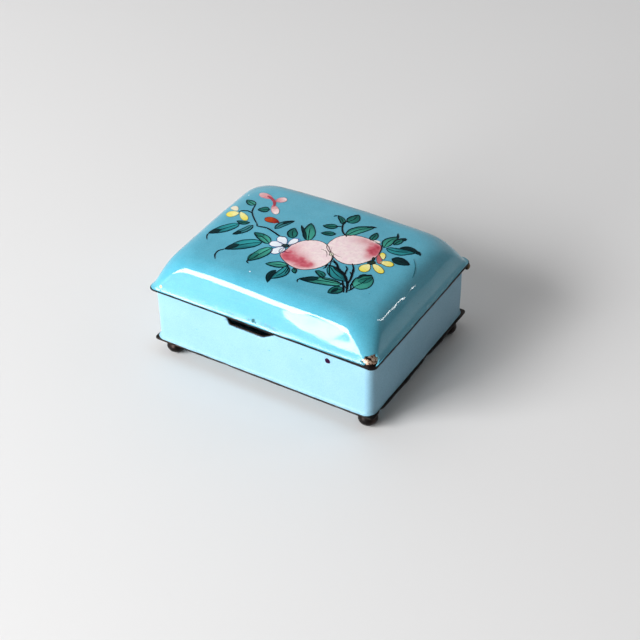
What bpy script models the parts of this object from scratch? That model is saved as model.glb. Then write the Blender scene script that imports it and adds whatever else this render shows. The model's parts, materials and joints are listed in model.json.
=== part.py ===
"""Hinged pill box of painted enamel on copper: a four-walled tray on ball feet under a pillow-shaped lid.

The origin is the middle of the bounding box's bottom. +X runs along the length, +Y points to the hinge side
and +Z is up. Lengths are in metres. The enamel coats are modelled as the separate glass layers that they are.
"""

import math

import bmesh
import bpy
from mathutils import Vector

MM = 0.001

# Lid, measured over its out-turned lip
LID_LENGTH = 76.0 * MM
LID_DEPTH = 59.2 * MM
LID_RISE = 12.0 * MM
LIP_CORNER = 2.0 * MM
SHOULDER_CORNER = 8.0 * MM
LIP_TOP = 0.75 * MM
COVE_INSET = 1.05 * MM
COVE_HEIGHT = 2.6 * MM
COVE_LEAN = 0.26
SHOULDER_INSET = 9.5 * MM
SHOULDER_PULL_UP = 6.0 * MM
SHOULDER_PULL_IN = 5.2 * MM
END_DROP = 1.9 * MM
SIDE_DROP = 1.1 * MM

# Sheet and coats
COPPER = 0.6 * MM
ENAMEL = 0.3 * MM
SEAT_GAP = 0.1 * MM

# Tray
RIM_HEIGHT = 18.5 * MM
LID_SEAT_GAP = 0.2 * MM
WALL_INSET = 1.3 * MM
WALL_CORNER = 2.5 * MM
PLATE_INSET = 0.45 * MM
PLATE_CORNER = 1.0 * MM
COUNTER_ENAMEL_MARGIN = 0.8 * MM

# Thumb notch in the front wall: x of its two ends along the wall's top and along its own floor
NOTCH_TOP = (-11.5 * MM, 6.6 * MM)
NOTCH_FLOOR = (-9.95 * MM, 1.0 * MM)
NOTCH_DEPTH = 3.2 * MM
NOTCH_COPPER_MARGIN = 0.25 * MM

# Ball feet, set by hand at slightly uneven places: x and y from the middle of the lid
FOOT_RADIUS = 2.9 * MM
FOOT_HEIGHT = 3.8 * MM
FOOT_SOLE_RADIUS = 1.3 * MM
FOOT_TOP_RADIUS = 2.3 * MM
FOOT_PLACES = {
    "foot_front_left": (-31.5 * MM, -26.4 * MM),
    "foot_front_right": (34.5 * MM, -26.3 * MM),
    "foot_rear_left": (-33.0 * MM, 22.5 * MM),
    "foot_rear_right": (34.8 * MM, 21.8 * MM),
}

# Hinge: five knuckles of drawn tube on one wire pin
BARREL_RADIUS = 1.1 * MM
BARREL_BORE = 0.58 * MM
BARREL_LENGTH = 74.4 * MM
BARREL_DROP = 1.9 * MM
KNUCKLE_NAMES = (
    "base_knuckle_left",
    "lid_knuckle_left",
    "base_knuckle_middle",
    "lid_knuckle_right",
    "base_knuckle_right",
)
KNUCKLE_GAP = 0.3 * MM
PIN_RADIUS = 0.5 * MM
PIN_HEAD_RADIUS = 0.8 * MM
PIN_HEAD_HEIGHT = 0.25 * MM
BEARER_LENGTH = 70.0 * MM
BEARER_CLEARANCE = 0.1 * MM
BASE_BEARER_HEIGHT = 3.0 * MM
LID_BEARER_THICKNESS = 0.5 * MM
LID_BEARER_WIDTH = 1.5 * MM

# Steps in the curved surfaces
CORNER_STEPS = 6
COVE_STEPS = 3
SHOULDER_STEPS = 9
TOP_RINGS = 3
ROUND_STEPS = 24
FOOT_STEPS = 5

# Levels and places that follow from the sizes above
LID_MIDDLE_Y = -BARREL_RADIUS / 2
PLATE_Z = FOOT_HEIGHT
RIM_Z = PLATE_Z + RIM_HEIGHT
WALL_TOP_Z = RIM_Z - LID_SEAT_GAP
FLOOR_Z = PLATE_Z + COPPER + SEAT_GAP
HINGE_Y = LID_MIDDLE_Y + LID_DEPTH / 2
HINGE_Z = RIM_Z - BARREL_DROP
COPPER_WALL_INSET = WALL_INSET + ENAMEL + SEAT_GAP
INNER_ENAMEL_INSET = COPPER_WALL_INSET + COPPER + SEAT_GAP

COLOURS = {
    "enamel_sky_blue": ((0.30, 0.62, 0.74), 0.12, 0.0),
    "enamel_lining": ((0.42, 0.70, 0.78), 0.18, 0.0),
    "aged_copper": ((0.11, 0.065, 0.045), 0.45, 0.9),
    "hinge_copper": ((0.07, 0.05, 0.04), 0.40, 0.9),
    "pin_brass": ((0.42, 0.30, 0.14), 0.35, 1.0),
}


def clear_scene():
    for item in list(bpy.data.objects):
        bpy.data.objects.remove(item, do_unlink=True)


def material(name):
    found = bpy.data.materials.get(name)
    if found:
        return found
    colour, roughness, metallic = COLOURS[name]
    made = bpy.data.materials.new(name)
    made.use_nodes = True
    shader = made.node_tree.nodes["Principled BSDF"]
    shader.inputs["Base Color"].default_value = (*colour, 1.0)
    shader.inputs["Roughness"].default_value = roughness
    shader.inputs["Metallic"].default_value = metallic
    made.diffuse_color = (*colour, 1.0)
    return made


def empty(name, location):
    marker = bpy.data.objects.new(name, None)
    marker.location = location
    bpy.context.scene.collection.objects.link(marker)
    return marker


def loft(name, rings, colour, parent, location=(0, 0, 0), closed=False):
    """Skin a row of rings with equal point counts, and cap both ends or join the last ring to the first."""
    mesh = bpy.data.meshes.new(name)
    shape = bmesh.new()
    rows = [[shape.verts.new(point) for point in ring] for ring in rings]
    pairs = list(zip(rows, rows[1:]))
    if closed:
        pairs.append((rows[-1], rows[0]))
    else:
        shape.faces.new(rows[0])
        shape.faces.new(rows[-1])
    for low, high in pairs:
        for i in range(len(low)):
            j = (i + 1) % len(low)
            shape.faces.new((low[i], low[j], high[j], high[i]))
    bmesh.ops.recalc_face_normals(shape, faces=shape.faces)
    shape.to_mesh(mesh)
    shape.free()
    mesh.shade_smooth()
    mesh.set_sharp_from_angle(angle=math.radians(32))
    made = bpy.data.objects.new(name, mesh)
    made.location = location
    made.parent = parent
    if colour:
        mesh.materials.append(material(colour))
    bpy.context.scene.collection.objects.link(made)
    return made


def rounded_rectangle(half_x, half_y, radius, height):
    """Points of a rectangle with round corners, anticlockwise from the middle of the +X side's far corner."""
    ring = []
    for corner in range(4):
        side_x = 1 if corner in (0, 3) else -1
        side_y = 1 if corner in (0, 1) else -1
        for step in range(CORNER_STEPS + 1):
            angle = math.radians(90) * (corner + step / CORNER_STEPS)
            x = side_x * (half_x - radius) + radius * math.cos(angle)
            y = side_y * (half_y - radius) + radius * math.sin(angle)
            ring.append(Vector((x, y, height)))
    return ring


def outline(inset, radius, height):
    """A rounded rectangle that lies a distance inside the lid's lip."""
    return rounded_rectangle(LID_LENGTH / 2 - inset, LID_DEPTH / 2 - inset, radius, height)


def circle_x(x, radius):
    turns = [2 * math.pi * step / ROUND_STEPS for step in range(ROUND_STEPS)]
    return [Vector((x, radius * math.cos(turn), radius * math.sin(turn))) for turn in turns]


def circle_z(z, radius):
    turns = [2 * math.pi * step / ROUND_STEPS for step in range(ROUND_STEPS)]
    return [Vector((radius * math.cos(turn), radius * math.sin(turn), z)) for turn in turns]


def box(name, low, high, colour, parent):
    x0, y0, z0 = low
    x1, y1, z1 = high
    rings = [[(x0, y0, z), (x1, y0, z), (x1, y1, z), (x0, y1, z)] for z in (z0, z1)]
    return loft(name, rings, colour, parent)


def as_cutter(guide):
    guide.hide_render = True
    guide.display_type = "WIRE"
    return guide


def cut(target, guide):
    boolean = target.modifiers.new("cut_" + guide.name, "BOOLEAN")
    boolean.operation = "DIFFERENCE"
    boolean.solver = "EXACT"
    boolean.object = guide


def bezier(points, share):
    """A point on a cubic curve through the (inset, height) plane."""
    rest = 1 - share
    weights = (rest**3, 3 * rest**2 * share, 3 * rest * share**2, share**3)
    inset = sum(weight * point[0] for weight, point in zip(weights, points))
    height = sum(weight * point[1] for weight, point in zip(weights, points))
    return Vector((inset, height))


def lid_profile():
    """The enamelled outside of the lid from its lip to its shoulder, as (inset, height) points."""
    lean = Vector((COVE_LEAN, 1)).normalized()
    foot = Vector((COVE_INSET, COVE_HEIGHT))
    cove = (
        Vector((0.1 * MM, LIP_TOP)),
        Vector((COVE_INSET * 0.65, LIP_TOP + 0.1 * MM)),
        foot - lean * COVE_HEIGHT * 0.35,
        foot,
    )
    shoulder = (
        foot,
        foot + lean * SHOULDER_PULL_UP,
        Vector((SHOULDER_INSET - SHOULDER_PULL_IN, LID_RISE)),
        Vector((SHOULDER_INSET, LID_RISE)),
    )
    points = [bezier(cove, step / COVE_STEPS) for step in range(COVE_STEPS)]
    points += [bezier(shoulder, step / SHOULDER_STEPS) for step in range(SHOULDER_STEPS + 1)]
    return points


def offset_profile(depth):
    """The lid's profile moved square to itself into the lid by a depth."""
    points = lid_profile()
    moved = []
    for i, point in enumerate(points):
        before = points[max(i - 1, 0)]
        after = points[min(i + 1, len(points) - 1)]
        along = (after - before).normalized()
        moved.append(point + Vector((along.y, -along.x)) * depth)
    return moved


def lid_ring(point, depth=0.0):
    """One level of the lid: corners grow rounder with height, and the top drops towards its ends and sides."""
    inset, height = point
    share = min(max(height / LID_RISE, 0.0), 1.0)
    radius = LIP_CORNER + (SHOULDER_CORNER - LIP_CORNER) * share - depth * (1 - share)
    radius = min(radius, LID_DEPTH / 2 - inset - 0.5 * MM)
    ring = outline(inset, radius, height)
    for vertex in ring:
        end = (2 * vertex.x / LID_LENGTH) ** 2
        side = (2 * vertex.y / LID_DEPTH) ** 2
        vertex.z -= share * (END_DROP * end + SIDE_DROP * side)
    return ring


def lid_skin(depth, lowest):
    """Rings from the lip to the middle of the top, a depth inside the lid's outer face."""
    points = [point for point in offset_profile(depth) if point.y > lowest]
    rings = [lid_ring(point, depth) for point in points]
    last_inset = LID_DEPTH / 2 - 2 * MM
    start = points[-1]
    for step in range(1, TOP_RINGS + 1):
        inset = start.x + (last_inset - start.x) * step / TOP_RINGS
        rings.append(lid_ring((inset, start.y), depth))
    return rings


def lid_layer(name, outer_depth, inner_depth, colour, parent, location, edge=(), outer_low=0.0, inner_low=0.0):
    """A closed shell between two depths; the edge rings join its two faces round the rim."""
    outer = lid_skin(outer_depth, outer_low)
    inner = lid_skin(inner_depth, inner_low)
    rings = outer[::-1] + [lid_ring(point) for point in edge] + inner
    return loft(name, rings, colour, parent, location)


def make_lid(parent, location):
    copper_outer = ENAMEL + SEAT_GAP
    copper_inner = copper_outer + COPPER
    lining_outer = copper_inner + SEAT_GAP
    lining_inner = lining_outer + ENAMEL
    lip_edge = ((0.0, LIP_TOP - copper_outer), (0.0, 0.0), (COVE_INSET + 0.5 * MM, 0.0))
    lid_layer("lid_shell", copper_outer, copper_inner, "aged_copper", parent, location, lip_edge, 0.0, 0.4 * MM)
    lid_layer("lid_enamel", 0.0, ENAMEL, "enamel_sky_blue", parent, location)
    lining_low = 0.8 * MM
    lid_layer("lid_lining_enamel", lining_outer, lining_inner, "enamel_lining", parent, location,
              outer_low=lining_low, inner_low=lining_low)


def band(name, inset, thickness, low, high, colour, parent, location):
    """Four walls bent from one strip: a ring with round corners."""
    outer = max(WALL_CORNER - (inset - WALL_INSET), 0.3 * MM)
    inner = max(outer - thickness, 0.2 * MM)
    rings = [
        outline(inset, outer, low),
        outline(inset, outer, high),
        outline(inset + thickness, inner, high),
        outline(inset + thickness, inner, low),
    ]
    return loft(name, rings, colour, parent, location, closed=True)


def slab(name, inset, radius, low, high, colour, parent, location):
    return loft(name, [outline(inset, radius, low), outline(inset, radius, high)], colour, parent, location)


def notch_cutter(name, margin):
    """A wedge-sided slot through the front wall; the margin widens it all round."""
    front = LID_MIDDLE_Y - LID_DEPTH / 2
    floor_z = WALL_TOP_Z - NOTCH_DEPTH - margin
    above = 1 * MM
    run_left = (NOTCH_FLOOR[0] - NOTCH_TOP[0]) * above / NOTCH_DEPTH
    run_right = (NOTCH_TOP[1] - NOTCH_FLOOR[1]) * above / NOTCH_DEPTH
    outline_xz = (
        (NOTCH_FLOOR[0] - margin, floor_z),
        (NOTCH_FLOOR[1] + margin, floor_z),
        (NOTCH_TOP[1] + run_right + margin, WALL_TOP_Z + above),
        (NOTCH_TOP[0] - run_left - margin, WALL_TOP_Z + above),
    )
    rings = [[(x, front + y, z) for x, z in outline_xz] for y in (-2 * MM, 6 * MM)]
    return as_cutter(loft(name, rings, None, None))


def make_tray(parent):
    middle = (0, LID_MIDDLE_Y, 0)
    slab("bottom_plate", PLATE_INSET, PLATE_CORNER, PLATE_Z, PLATE_Z + COPPER, "aged_copper", parent, middle)
    walls = band("wall_band", COPPER_WALL_INSET, COPPER, FLOOR_Z, WALL_TOP_Z, "aged_copper", parent, middle)
    coat_top = WALL_TOP_Z - SEAT_GAP
    coat = band("wall_enamel", WALL_INSET, ENAMEL, FLOOR_Z, coat_top, "enamel_sky_blue", parent, middle)
    lining = band("wall_lining_enamel", INNER_ENAMEL_INSET, ENAMEL, FLOOR_Z, coat_top,
                  "enamel_lining", parent, middle)
    floor_inset = INNER_ENAMEL_INSET + ENAMEL + SEAT_GAP
    slab("floor_enamel", floor_inset, PLATE_CORNER, FLOOR_Z, FLOOR_Z + ENAMEL, "enamel_lining", parent, middle)
    cut(walls, notch_cutter("notch_in_copper", 0.0))
    wide_notch = notch_cutter("notch_in_enamel", NOTCH_COPPER_MARGIN)
    cut(coat, wide_notch)
    cut(lining, wide_notch)
    cut(coat, bearer_relief())
    return middle


def bearer_relief():
    """The stretch of the rear wall that stays bare, where the hinge's lower bearer is soldered on."""
    half = BEARER_LENGTH / 2 + SEAT_GAP
    low_z = HINGE_Z - BASE_BEARER_HEIGHT - SEAT_GAP
    face_y = HINGE_Y - COPPER_WALL_INSET
    slack = 1 * MM
    relief = box("bearer_relief", (-half, face_y - SEAT_GAP / 2, low_z), (half, HINGE_Y + slack, RIM_Z + slack),
                 None, None)
    return as_cutter(relief)


def make_underside(parent, middle):
    """The counter enamel below the plate, left open round each foot."""
    top = PLATE_Z - SEAT_GAP
    inset = PLATE_INSET + COUNTER_ENAMEL_MARGIN
    sheet = slab("underside_enamel", inset, PLATE_CORNER, top - ENAMEL, top, "enamel_lining", parent, middle)
    for name, (x, y) in FOOT_PLACES.items():
        rings = [circle_z(z, FOOT_RADIUS + 0.2 * MM) for z in (PLATE_Z - 1 * MM, PLATE_Z + 0.05 * MM)]
        hole = loft(name + "_clearance", rings, None, None, (x, y + LID_MIDDLE_Y, 0))
        cut(sheet, as_cutter(hole))


def make_feet(parent):
    """Cast ball feet: flat where they are soldered to the plate and flat on the sole."""
    top = FOOT_HEIGHT - SEAT_GAP
    widest = FOOT_HEIGHT * 0.52
    rings = []
    for step in range(FOOT_STEPS + 1):
        angle = math.radians(90) * step / FOOT_STEPS
        radius = FOOT_SOLE_RADIUS + (FOOT_RADIUS - FOOT_SOLE_RADIUS) * math.sin(angle)
        rings.append(circle_z(widest * (1 - math.cos(angle)), radius))
    for step in range(1, FOOT_STEPS + 1):
        angle = math.radians(90) * step / FOOT_STEPS
        radius = FOOT_TOP_RADIUS + (FOOT_RADIUS - FOOT_TOP_RADIUS) * math.cos(angle)
        rings.append(circle_z(widest + (top - widest) * math.sin(angle), radius))
    for name, (x, y) in FOOT_PLACES.items():
        loft(name, rings, "aged_copper", parent, (x, y + LID_MIDDLE_Y, 0))


def make_knuckles(base, lid_axis):
    """Five tubes in a row about the hinge axis; those of the lid hang on the axis empty."""
    count = len(KNUCKLE_NAMES)
    length = (BARREL_LENGTH - KNUCKLE_GAP * (count - 1)) / count
    for place, name in enumerate(KNUCKLE_NAMES):
        x0 = -BARREL_LENGTH / 2 + place * (length + KNUCKLE_GAP)
        x1 = x0 + length
        rings = [
            circle_x(x0, BARREL_RADIUS),
            circle_x(x1, BARREL_RADIUS),
            circle_x(x1, BARREL_BORE),
            circle_x(x0, BARREL_BORE),
        ]
        on_lid = name.startswith("lid")
        parent = lid_axis if on_lid else base
        location = (0, 0, 0) if on_lid else (0, HINGE_Y, HINGE_Z)
        loft(name, rings, "hinge_copper", parent, location, closed=True)


def make_pin(base):
    """A wire through all five knuckles with a peened head outside each end knuckle."""
    end = BARREL_LENGTH / 2 + SEAT_GAP
    tip = end + PIN_HEAD_HEIGHT
    half = (
        (tip, PIN_HEAD_RADIUS * 0.55),
        (tip - PIN_HEAD_HEIGHT * 0.35, PIN_HEAD_RADIUS * 0.9),
        (end, PIN_HEAD_RADIUS),
        (end, PIN_RADIUS),
    )
    rings = [circle_x(-x, radius) for x, radius in half]
    rings += [circle_x(x, radius) for x, radius in reversed(half)]
    loft("hinge_pin", rings, "pin_brass", base, (0, HINGE_Y, HINGE_Z))


def make_bearers(base, lid_axis):
    """The two flat strips that the knuckles are soldered to."""
    half = BEARER_LENGTH / 2
    reach = BARREL_RADIUS + BEARER_CLEARANCE
    wall_face = HINGE_Y - COPPER_WALL_INSET + SEAT_GAP
    box("base_hinge_bearer", (-half, wall_face, HINGE_Z - BASE_BEARER_HEIGHT),
        (half, HINGE_Y - reach, HINGE_Z + 0.7 * MM), "hinge_copper", base)
    box("lid_hinge_bearer", (-half, 0.5 * MM - LID_BEARER_WIDTH, reach + SEAT_GAP),
        (half, 0.5 * MM, reach + SEAT_GAP + LID_BEARER_THICKNESS), "hinge_copper", lid_axis)


def main():
    clear_scene()
    base = empty("base_frame", (0, 0, 0))
    lid_axis = empty("lid_axis", (0, HINGE_Y, HINGE_Z))
    middle = make_tray(base)
    make_underside(base, middle)
    make_feet(base)
    make_knuckles(base, lid_axis)
    make_pin(base)
    make_bearers(base, lid_axis)
    make_lid(lid_axis, (0, LID_MIDDLE_Y - HINGE_Y, RIM_Z - HINGE_Z))


main()
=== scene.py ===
"""Looks of the hinged enamel box: hand-fired enamel, aged copper and the overglaze painting on its lid.

Lengths are in metres. The painting is laid out in millimetres from the middle of the lid, +x to the right
and +y towards the hinge, and is then draped on the lid's enamel.
"""

import json
import math

import bmesh
import bpy
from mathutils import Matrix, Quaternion, Vector, noise
from mathutils.bvhtree import BVHTree


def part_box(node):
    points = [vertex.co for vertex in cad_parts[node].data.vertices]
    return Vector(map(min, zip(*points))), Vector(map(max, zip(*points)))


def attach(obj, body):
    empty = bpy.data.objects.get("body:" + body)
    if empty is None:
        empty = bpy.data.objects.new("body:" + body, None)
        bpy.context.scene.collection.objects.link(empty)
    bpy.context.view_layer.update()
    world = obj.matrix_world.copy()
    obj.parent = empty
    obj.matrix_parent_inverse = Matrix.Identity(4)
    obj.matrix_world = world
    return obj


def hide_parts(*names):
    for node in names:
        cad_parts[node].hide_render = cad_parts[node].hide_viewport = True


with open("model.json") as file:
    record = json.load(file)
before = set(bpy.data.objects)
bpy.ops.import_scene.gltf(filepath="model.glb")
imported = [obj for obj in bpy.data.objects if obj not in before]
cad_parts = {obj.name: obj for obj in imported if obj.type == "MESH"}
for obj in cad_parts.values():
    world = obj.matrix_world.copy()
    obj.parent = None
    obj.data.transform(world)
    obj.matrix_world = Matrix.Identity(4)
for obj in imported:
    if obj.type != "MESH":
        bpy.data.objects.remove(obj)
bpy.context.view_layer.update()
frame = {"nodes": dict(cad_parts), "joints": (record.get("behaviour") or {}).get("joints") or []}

MM = 0.001


def mm(*lengths):
    """A point, or a size along each axis, given in millimetres."""
    return Vector(lengths) * MM


# ---------------- sizes from the frame
LIP_LOW, LIP_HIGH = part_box("lid_shell")
PLATE_LOW, PLATE_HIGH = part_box("bottom_plate")
WALL_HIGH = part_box("wall_band")[1]
BEARER_LOW, BEARER_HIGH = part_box("base_hinge_bearer")
HINGE = Vector(frame["joints"][0]["pos_m"])
HALF_LENGTH = (LIP_HIGH.x - LIP_LOW.x) / 2
HALF_DEPTH = (LIP_HIGH.y - LIP_LOW.y) / 2
MIDDLE_Y = (LIP_HIGH.y + LIP_LOW.y) / 2
RIM_Z = LIP_LOW.z
LID_MIDDLE = Vector((0, MIDDLE_Y, RIM_Z))
WALL_TOP_Z = WALL_HIGH.z
FLANGE_Z = PLATE_HIGH.z

# ---------------- shape of the lid, as in the CAD
LID_RISE = 12.0 * MM
LIP_CORNER = 2.0 * MM
SHOULDER_CORNER = 8.0 * MM
LIP_TOP = 0.75 * MM
COVE_INSET = 1.2 * MM
COVE_HEIGHT = 3.2 * MM
COVE_LEAN = 0.26
SHOULDER_INSET = 9.5 * MM
SHOULDER_PULL_UP = 6.0 * MM
SHOULDER_PULL_IN = 5.2 * MM
END_DROP = 1.9 * MM
SIDE_DROP = 1.1 * MM

# ---------------- layers, measured in from the outside
COAT = 0.38 * MM
COPPER_OUTER = 0.4 * MM
COPPER_INNER = 1.0 * MM
LINING_OUTER = 1.02 * MM
LINING_INNER = 1.4 * MM
WALL_INSET = 1.3 * MM
WALL_CORNER = 2.5 * MM
SMALLEST_CORNER = 0.3 * MM
PLATE_INSET = 0.45 * MM
PLATE_CORNER = 1.0 * MM
SEAM = 0.02 * MM
COAT_TOP_Z = WALL_TOP_Z - 0.12 * MM

# Thumb notch: x of its ends along the wall's top and along its own floor
NOTCH_TOP = (-11.5 * MM, 6.6 * MM)
NOTCH_FLOOR = (-9.95 * MM, 1.0 * MM)
NOTCH_DEPTH = 3.2 * MM

# How far the box's core, which the waves are pushed out from, lies inside the lip and above it
CORE_MARGIN = 10 * MM
CORE_HEIGHT = 3 * MM

# Fineness
CORNER_STEPS = 14
SIDE_STEPS = (56, 42)
COVE_STEPS = 9
SHOULDER_STEPS = 26
TOP_RINGS = 22

# Cleaning of small parts copied from the CAD
WELD = 0.001 * MM
FLAT_ANGLE = 0.002
LONG_EDGE = 5 * MM

# How far apart the feet lie in the noise that dents them, per metre between them
FOOT_SPREAD = 900

# Damage at the lip: middle of each chip from the lid's middle and rim, and the radii of the lost flake
CHIPS = (
    (mm(36.6, -28.7, 1.9), mm(3.3, 3.2, 1.7)),
    (mm(-33.4, -29.5, 1.1), mm(0.55, 0.5, 0.45)),
    (mm(-18.0, 28.6, 3.4), mm(0.9, 0.6, 0.5)),
)

# Waves of hand-raised copper: their size, their height, and where in the noise they are taken
WAVES = (
    (13 * MM, 0.12 * MM, Vector()),
    (6 * MM, 0.05 * MM, Vector((7, 3, 5))),
)

# Nicks in the plate's edge, from the middle of the lid, in millimetres: x, y, depth and width
NICKS = (
    (37.5, -24.4, 0.7, 1.0),
    (37.5, -9.0, -0.3, 2.2),
    (37.5, 3.5, 0.4, 1.6),
    (37.5, 12.0, -0.34, 3.0),
    (-12.0, -29.1, 0.22, 1.4),
    (12.0, 29.1, 0.3, 1.5),
)

# Places where the lid was raised unevenly: middle, reach along each axis, and height
SWELLINGS = (
    (mm(25.0, -28.5, 3.0), mm(11.0, 4.0, 1.9), 0.34 * MM),
    (mm(23.0, -27.0, 6.6), mm(9.0, 4.0, 2.2), -0.22 * MM),
    (mm(36.8, -8.0, 0.8), mm(2.5, 40.0, 1.1), 0.34 * MM),
    (mm(33.0, 6.0, 7.0), mm(4.0, 7.0, 2.0), -0.14 * MM),
    (mm(-25.5, -27.3, 6.9), mm(9.0, 4.0, 3.0), -0.24 * MM),
    (mm(2.0, -27.3, 7.6), mm(7.0, 4.0, 2.2), 0.14 * MM),
)

# ---------------- camera
CAMERA_AZIMUTH = 31.61
CAMERA_ELEVATION = 37.75
CAMERA_ROLL = -1.03
CAMERA_DISTANCE = 0.4208
CAMERA_TARGET = Vector((0.0112, -0.014, 0.019))
CAMERA_LENS = 82.32
SENSOR_WIDTH = 36

# ---------------- studio
BACKDROP_DIRECTION = (-0.45, 0.85, 0.25)
BACKDROP_LEVEL = 0.7
ROOM_LEVEL = 0.06
FLOOR_HALF = 6.0
LIGHT_DISTANCE = 1.2

# Each light: degrees left of the front, elevation, angular width and height, and brightness. The strip
# behind is the source of the long thin reflection on the lid's right side.
LIGHTS = {
    "window": (38, 29, 29, 18, 21.5),
    "side_pane": (15, 12.5, 18, 25, 15.0),
    "sill": (38, 9.5, 36, 19, 2.6),
    "overhead": (75, 64, 60, 45, 0.36),
    "strip": (-136, 31, 0.85, 38, 17.0),
}


# ================ mesh helpers
def new_object(name, mesh, material=None):
    made = bpy.data.objects.new(name, mesh)
    bpy.context.scene.collection.objects.link(made)
    if material:
        mesh.materials.append(material)
    return made


def smooth(mesh, sharp_above=40):
    mesh.shade_smooth()
    mesh.set_sharp_from_angle(angle=math.radians(sharp_above))


def loft(name, rings, material=None, closed=False, sharp_above=40):
    """Skin a row of rings with equal point counts; cap the ends, or join the last ring to the first."""
    shape = bmesh.new()
    rows = [[shape.verts.new(point) for point in ring] for ring in rings]
    pairs = list(zip(rows, rows[1:]))
    if closed:
        pairs.append((rows[-1], rows[0]))
    else:
        shape.faces.new(rows[0])
        shape.faces.new(rows[-1])
    count = len(rows[0])
    for low, high in pairs:
        for i in range(count):
            j = (i + 1) % count
            shape.faces.new((low[i], low[j], high[j], high[i]))
    bmesh.ops.recalc_face_normals(shape, faces=shape.faces)
    mesh = bpy.data.meshes.new(name)
    shape.to_mesh(mesh)
    shape.free()
    smooth(mesh, sharp_above)
    return new_object(name, mesh, material)


def clamp(value, low, high):
    return max(low, min(high, value))


def outward(point):
    """Away from the box's core: sideways on its walls, upwards on the lid's top."""
    core = Vector((
        clamp(point.x, -HALF_LENGTH + CORE_MARGIN, HALF_LENGTH - CORE_MARGIN),
        clamp(point.y, MIDDLE_Y - HALF_DEPTH + CORE_MARGIN, MIDDLE_Y + HALF_DEPTH - CORE_MARGIN),
        min(point.z, RIM_Z + CORE_HEIGHT),
    ))
    return (point - core).normalized()


def unevenness(point):
    """Waves and swellings of hand-raised copper, the same through the metal and its coats."""
    total = sum(height * noise.noise(point / size + shift) for size, height, shift in WAVES)
    for middle, reach, height in SWELLINGS:
        away = point - LID_MIDDLE - middle
        total += height * math.exp(-sum((a / b) ** 2 for a, b in zip(away, reach)))
    return total


def uneven(point):
    return point + outward(point) * unevenness(point)


def rounded_rectangle(inset, radius, height):
    """Points round a rectangle this far inside the lid's lip, evenly spaced, with arcs at its corners."""
    half_x, half_y = HALF_LENGTH - inset, HALF_DEPTH - inset
    arcs = []
    for quarter in range(4):
        side_x = 1 if quarter in (0, 3) else -1
        side_y = 1 if quarter in (0, 1) else -1
        middle = Vector((side_x * (half_x - radius), MIDDLE_Y + side_y * (half_y - radius), height))
        turns = [math.radians(90) * (quarter + step / CORNER_STEPS) for step in range(CORNER_STEPS + 1)]
        arcs.append([middle + radius * Vector((math.cos(turn), math.sin(turn), 0)) for turn in turns])
    ring = []
    for quarter, arc in enumerate(arcs):
        steps = SIDE_STEPS[quarter % 2]
        following = arcs[(quarter + 1) % 4][0]
        ring += arc
        ring += [arc[-1].lerp(following, step / steps) for step in range(1, steps)]
    return ring


def circle(steps):
    """Points round a unit circle."""
    turns = [2 * math.pi * step / steps for step in range(steps)]
    return [(math.cos(turn), math.sin(turn)) for turn in turns]


def ragged(ring, amount, grain=2.0 * MM, seed=0.0):
    """Move each point in or out in plan by noise, as a hand-cut or hand-dipped edge does."""
    shift = Vector((seed, 2.7 * seed, 0))
    moved = []
    for point in ring:
        push = outward(Vector((point.x, point.y, RIM_Z)))
        wander = noise.noise(point / grain + shift) + 0.5 * noise.noise(point / (0.35 * grain) + shift)
        moved.append(point + push * amount * wander)
    return moved


def boolean_cut(piece, cutter):
    """Cut a piece with a closed shape, apply the cut and drop the cutter."""
    modifier = piece.modifiers.new("cut", "BOOLEAN")
    modifier.operation = "DIFFERENCE"
    modifier.solver = "EXACT"
    modifier.object = cutter
    bpy.context.view_layer.update()
    evaluated = piece.evaluated_get(bpy.context.evaluated_depsgraph_get())
    cut_mesh = bpy.data.meshes.new_from_object(evaluated)
    piece.modifiers.clear()
    piece.data = cut_mesh
    bpy.data.objects.remove(cutter, do_unlink=True)


def stand_in(piece, node, body):
    """Draw the piece in place of a CAD node and let it move with a body."""
    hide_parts(node)
    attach(piece, body)


# ================ material helpers
# Places of the colour sockets on a Mix node
MIX_SHARE, MIX_FIRST, MIX_SECOND, MIX_RESULT = 0, 6, 7, 2


def add_node(tree, kind, inputs, **settings):
    """A new node with its settings. Each input takes a value, or the socket that feeds it."""
    made = tree.nodes.new(kind)
    for key, value in settings.items():
        setattr(made, key, value)
    for key, value in inputs.items():
        socket = made.inputs[key]
        if isinstance(value, bpy.types.NodeSocket):
            tree.links.new(value, socket)
        elif socket.type == "RGBA":
            socket.default_value = (*value, 1)
        else:
            socket.default_value = value
    return made


def add_ramp(tree, value, stops):
    """Map a value through stops of (place, level or colour)."""
    ramp = add_node(tree, "ShaderNodeValToRGB", {"Fac": value})
    elements = ramp.color_ramp.elements
    while len(elements) < len(stops):
        elements.new(0.5)
    for element, (position, level) in zip(elements, stops):
        element.position = position
        element.color = (level, level, level, 1) if isinstance(level, float) else (*level, 1)
    return ramp.outputs["Color"]


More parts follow.
